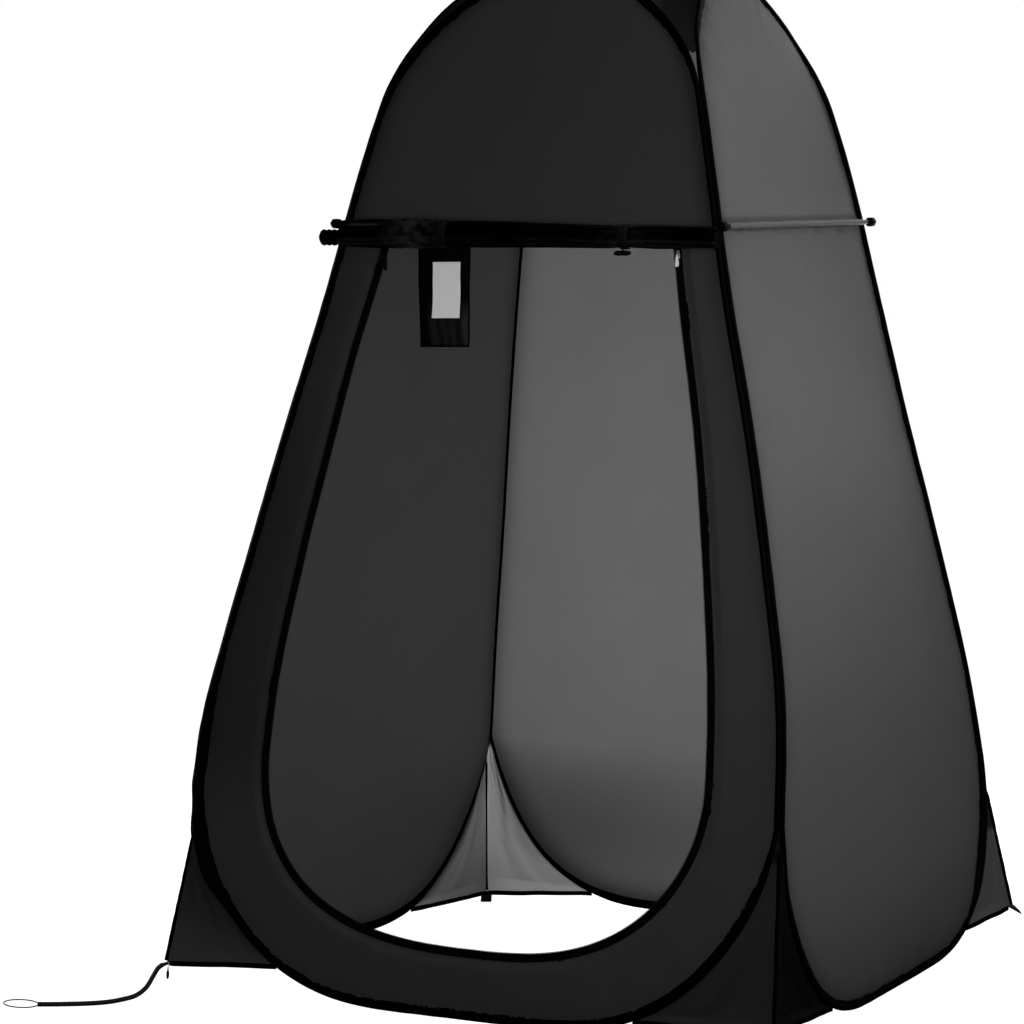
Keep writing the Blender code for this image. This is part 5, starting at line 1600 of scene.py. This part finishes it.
def strap():
    P = smooth_line(STRAP, 220)
    t = tangents(P)
    ref = np.broadcast_to(ZUP, P.shape)
    B = unit(ref - t * dot(ref, t))
    A = unit(np.cross(t, B))
    d = lengths(P)
    # a round braided cord: strands cross over each other
    m = 24
    ang = np.linspace(0, 2 * math.pi, m + 1)[:-1][None]
    ph = d[:, None] / 0.0075 * math.pi
    r = STRAP_R * (0.965 + 0.035 * np.abs(np.sin(2 * ang + ph)) * np.abs(np.sin(2 * ang - ph)) * 2)
    sec = np.stack([np.cos(ang) * r, np.sin(ang) * r], -1)
    s = Shape()
    s.tube(P, A, B, sec, dome=0.0006)
    root = P[0] + (np.array(GROUND["fl"]) + (0.002, 0.001, 0.0) - P[0]) * np.linspace(-0.25, 1, 12)[:, None]
    k = STRAP_R * (0.93 - 0.25 * np.linspace(0, 1, 12))
    r = Shape()
    r.tube(root, np.broadcast_to(A[0], root.shape), np.broadcast_to(B[0], root.shape),
           np.stack([ring(v, 16) for v in k]), dome=0.0004)
    root = r.make("strap_root", WEBBING, (), "black_webbing", sharp=None)
    ob = s.make("strap_cord", WEBBING, "corner_strap", "black_webbing", sharp=None)
    e1 = unit(np.array((-0.966, 0.260, 0)))
    e2 = np.array((e1[1], -e1[0], 0))
    mid = np.array((*LOOP_MID, LOOP_R + 0.0002))
    q = np.linspace(0, 2 * math.pi, 121)[:-1]
    C = mid + e1 * (LOOP_A * np.cos(q))[:, None] + e2 * (LOOP_B * np.sin(q))[:, None]
    tt = tangents(C, True)
    rad = unit(np.cross(tt, ZUP))
    l = Shape()
    l.tube(C, rad, np.broadcast_to(ZUP, rad.shape), ring(LOOP_R, 12), closed=True)
    loop = l.make("strap_end_loop", WEBBING, "strap_loop", "black_webbing", sharp=None)
    return ob


# ------------------------------------------------------------- putting it up

strap()
for f in FACES:
    hoop(f)
for f, seed in (("front", 31), ("right", 43), ("back", 57), ("left", 71)):
    mat = {"front": CLOTH, "back": BACK_GLOW_CLOTH}.get(f, THIN)
    panel(f, f + "_panel_upper", fine(I_ROD), LAST, 50, mat,
          "black_polyester" if f == "front" else "black_polyester_thin", seed, pole=f in ("right", "left"))
    if f != "front":
        panel(f, f + "_panel_lower", fine(0), fine(I_ROD), 54, mat, "black_polyester_thin", seed,
              pole=f in ("right", "left"))
front_lower()
door_zip()
roof()
for n, (k, ends) in enumerate(ENDS.items()):
    for j, (f, s) in enumerate(ends):
        gusset(k, f, s, 200 + 20 * n + 10 * j)
    corner_tapes(k, 300 + 10 * n)
    peg_loop(k)
for name in ("right", "left"):
    side_pole(name)
    pole_tunnel(name)
door_roll()
door_tie("left", -0.134)
door_tie("right", 0.234)
door_toggle()
slider("left")
slider("right")
pocket()
care_tag()

# ------------------------------------------------------- floor, light, camera


def floor():
    me = bpy.data.meshes.new("floor")
    n, r = 96, 14.0
    pts = [(0, 0, 0)] + [(r * math.cos(2 * math.pi * i / n), r * math.sin(2 * math.pi * i / n), 0) for i in range(n)]
    me.from_pydata(pts, [], [(0, i + 1, (i + 1) % n + 1) for i in range(n)])
    ob = bpy.data.objects.new("floor", me)
    m = bpy.data.materials.new("floor_pale")
    t = nodes_of(m)
    p = t.nodes.new("ShaderNodeBsdfPrincipled")
    p.inputs["Base Color"].default_value = (0.22, 0.22, 0.22, 1)
    p.inputs["Roughness"].default_value = 0.9
    p.inputs["Specular IOR Level"].default_value = 0.0
    p.inputs["Emission Color"].default_value = (1, 1, 1, 1)
    p.inputs["Emission Strength"].default_value = 1.0
    out = t.nodes.new("ShaderNodeOutputMaterial")
    link(t, p.outputs[0], out.inputs[0])
    me.materials.append(m)
    bpy.context.scene.collection.objects.link(ob)
    ob.visible_diffuse = False
    ob.visible_glossy = False
    ob.visible_transmission = False


AMBIENT = 0.10


def world():
    w = bpy.data.worlds.new("studio")
    bpy.context.scene.world = w
    w.use_nodes = True
    t = w.node_tree
    t.nodes.clear()
    rays = t.nodes.new("ShaderNodeLightPath")
    co = t.nodes.new("ShaderNodeTexCoord")
    sep = t.nodes.new("ShaderNodeSeparateXYZ")
    link(t, co.outputs["Generated"], sep.inputs[0])
    up = between(t, sep.outputs["Z"], -0.25, 0.35, 0.10, 1.0)
    amb = t.nodes.new("ShaderNodeBackground")
    amb.inputs["Color"].default_value = (1, 1, 1, 1)
    link(t, math_node(t, "MULTIPLY", up, AMBIENT), amb.inputs["Strength"])
    white = t.nodes.new("ShaderNodeBackground")
    white.inputs["Color"].default_value = (1, 1, 1, 1)
    white.inputs["Strength"].default_value = 1.0
    mix = t.nodes.new("ShaderNodeMixShader")
    link(t, rays.outputs["Is Camera Ray"], mix.inputs[0])
    link(t, amb.outputs[0], mix.inputs[1])
    link(t, white.outputs[0], mix.inputs[2])
    out = t.nodes.new("ShaderNodeOutputWorld")
    link(t, mix.outputs[0], out.inputs[0])


def area_light(name, at, aim, size, power):
    l = bpy.data.lights.new(name, "AREA")
    l.shape = "DISK"
    l.size = size
    l.energy = power
    o = bpy.data.objects.new(name, l)
    bpy.context.scene.collection.objects.link(o)
    o.location = at
    o.rotation_euler = (Vector(aim) - Vector(at)).to_track_quat("-Z", "Y").to_euler()
    o.visible_camera = False
    return o


def camera():
    az, dist, height = math.radians(25.470), 5.8569, 1.2606
    pan, tilt, roll = math.radians(1.8267), math.radians(-3.7262), math.radians(-0.1873)
    c = Vector((dist * math.sin(az), -dist * math.cos(az), height))
    yaw = az + pan
    d = Vector((-math.sin(yaw) * math.cos(tilt), math.cos(yaw) * math.cos(tilt), math.sin(tilt)))
    r = d.cross(Vector((0, 0, 1))).normalized()
    u = r.cross(d)
    r2 = r * math.cos(roll) + u * math.sin(roll)
    u2 = -r * math.sin(roll) + u * math.cos(roll)
    cam = bpy.data.cameras.new("camera")
    cam.sensor_fit = "HORIZONTAL"
    cam.sensor_width = 36.0
    cam.lens = 3002.2 / 1024 * 36.0
    cam.clip_start, cam.clip_end = 0.1, 60.0
    ob = bpy.data.objects.new("camera", cam)
    bpy.context.scene.collection.objects.link(ob)
    m = Matrix((r2, u2, -d)).transposed().to_4x4()
    m.translation = c
    ob.matrix_world = m
    bpy.context.scene.camera = ob


floor()
world()
area_light("right", (1.60, -0.30, 1.68), (0.40, -0.05, 1.06), 0.9, 47.0)
area_light("right_front", (1.50, -0.90, 1.20), (0.40, -0.10, 1.00), 0.8, 5.2)
area_light("right_far", (2.40, -0.40, 0.85), (0.45, -0.10, 0.75), 1.2, 35.0)
area_light("back", (0.35, 2.55, 1.65), (0.05, 0.50, 1.00), 1.4, 21.3)
area_light("back_high", (0.20, 1.90, 2.30), (0.05, 0.40, 1.00), 1.0, 22.3)
area_light("back_low", (-0.10, 2.30, 1.00), (0.00, 0.50, 0.95), 1.2, 78.0)
area_light("back_foot", (-0.10, 2.30, 0.35), (0.00, 0.50, 0.35), 1.0, 25.0)
area_light("fill", (1.15, -2.00, 1.45), (0.20, -0.50, 0.95), 1.0, 10.1)
area_light("front", (-0.50, -4.00, 1.00), (0.00, -0.50, 0.80), 1.5, 42.7)
area_light("left", (-2.30, 0.35, 1.30), (-0.45, 0.00, 0.90), 1.4, 44.0)
area_light("left_foot", (-2.30, 0.35, 0.40), (-0.45, 0.00, 0.35), 1.0, 15.0)
area_light("top", (0.00, 0.00, 4.20), (0.00, 0.00, 1.00), 2.0, 26.2)
camera()
bpy.context.scene.view_settings.view_transform = "Standard"

bpy.context.view_layer.update()
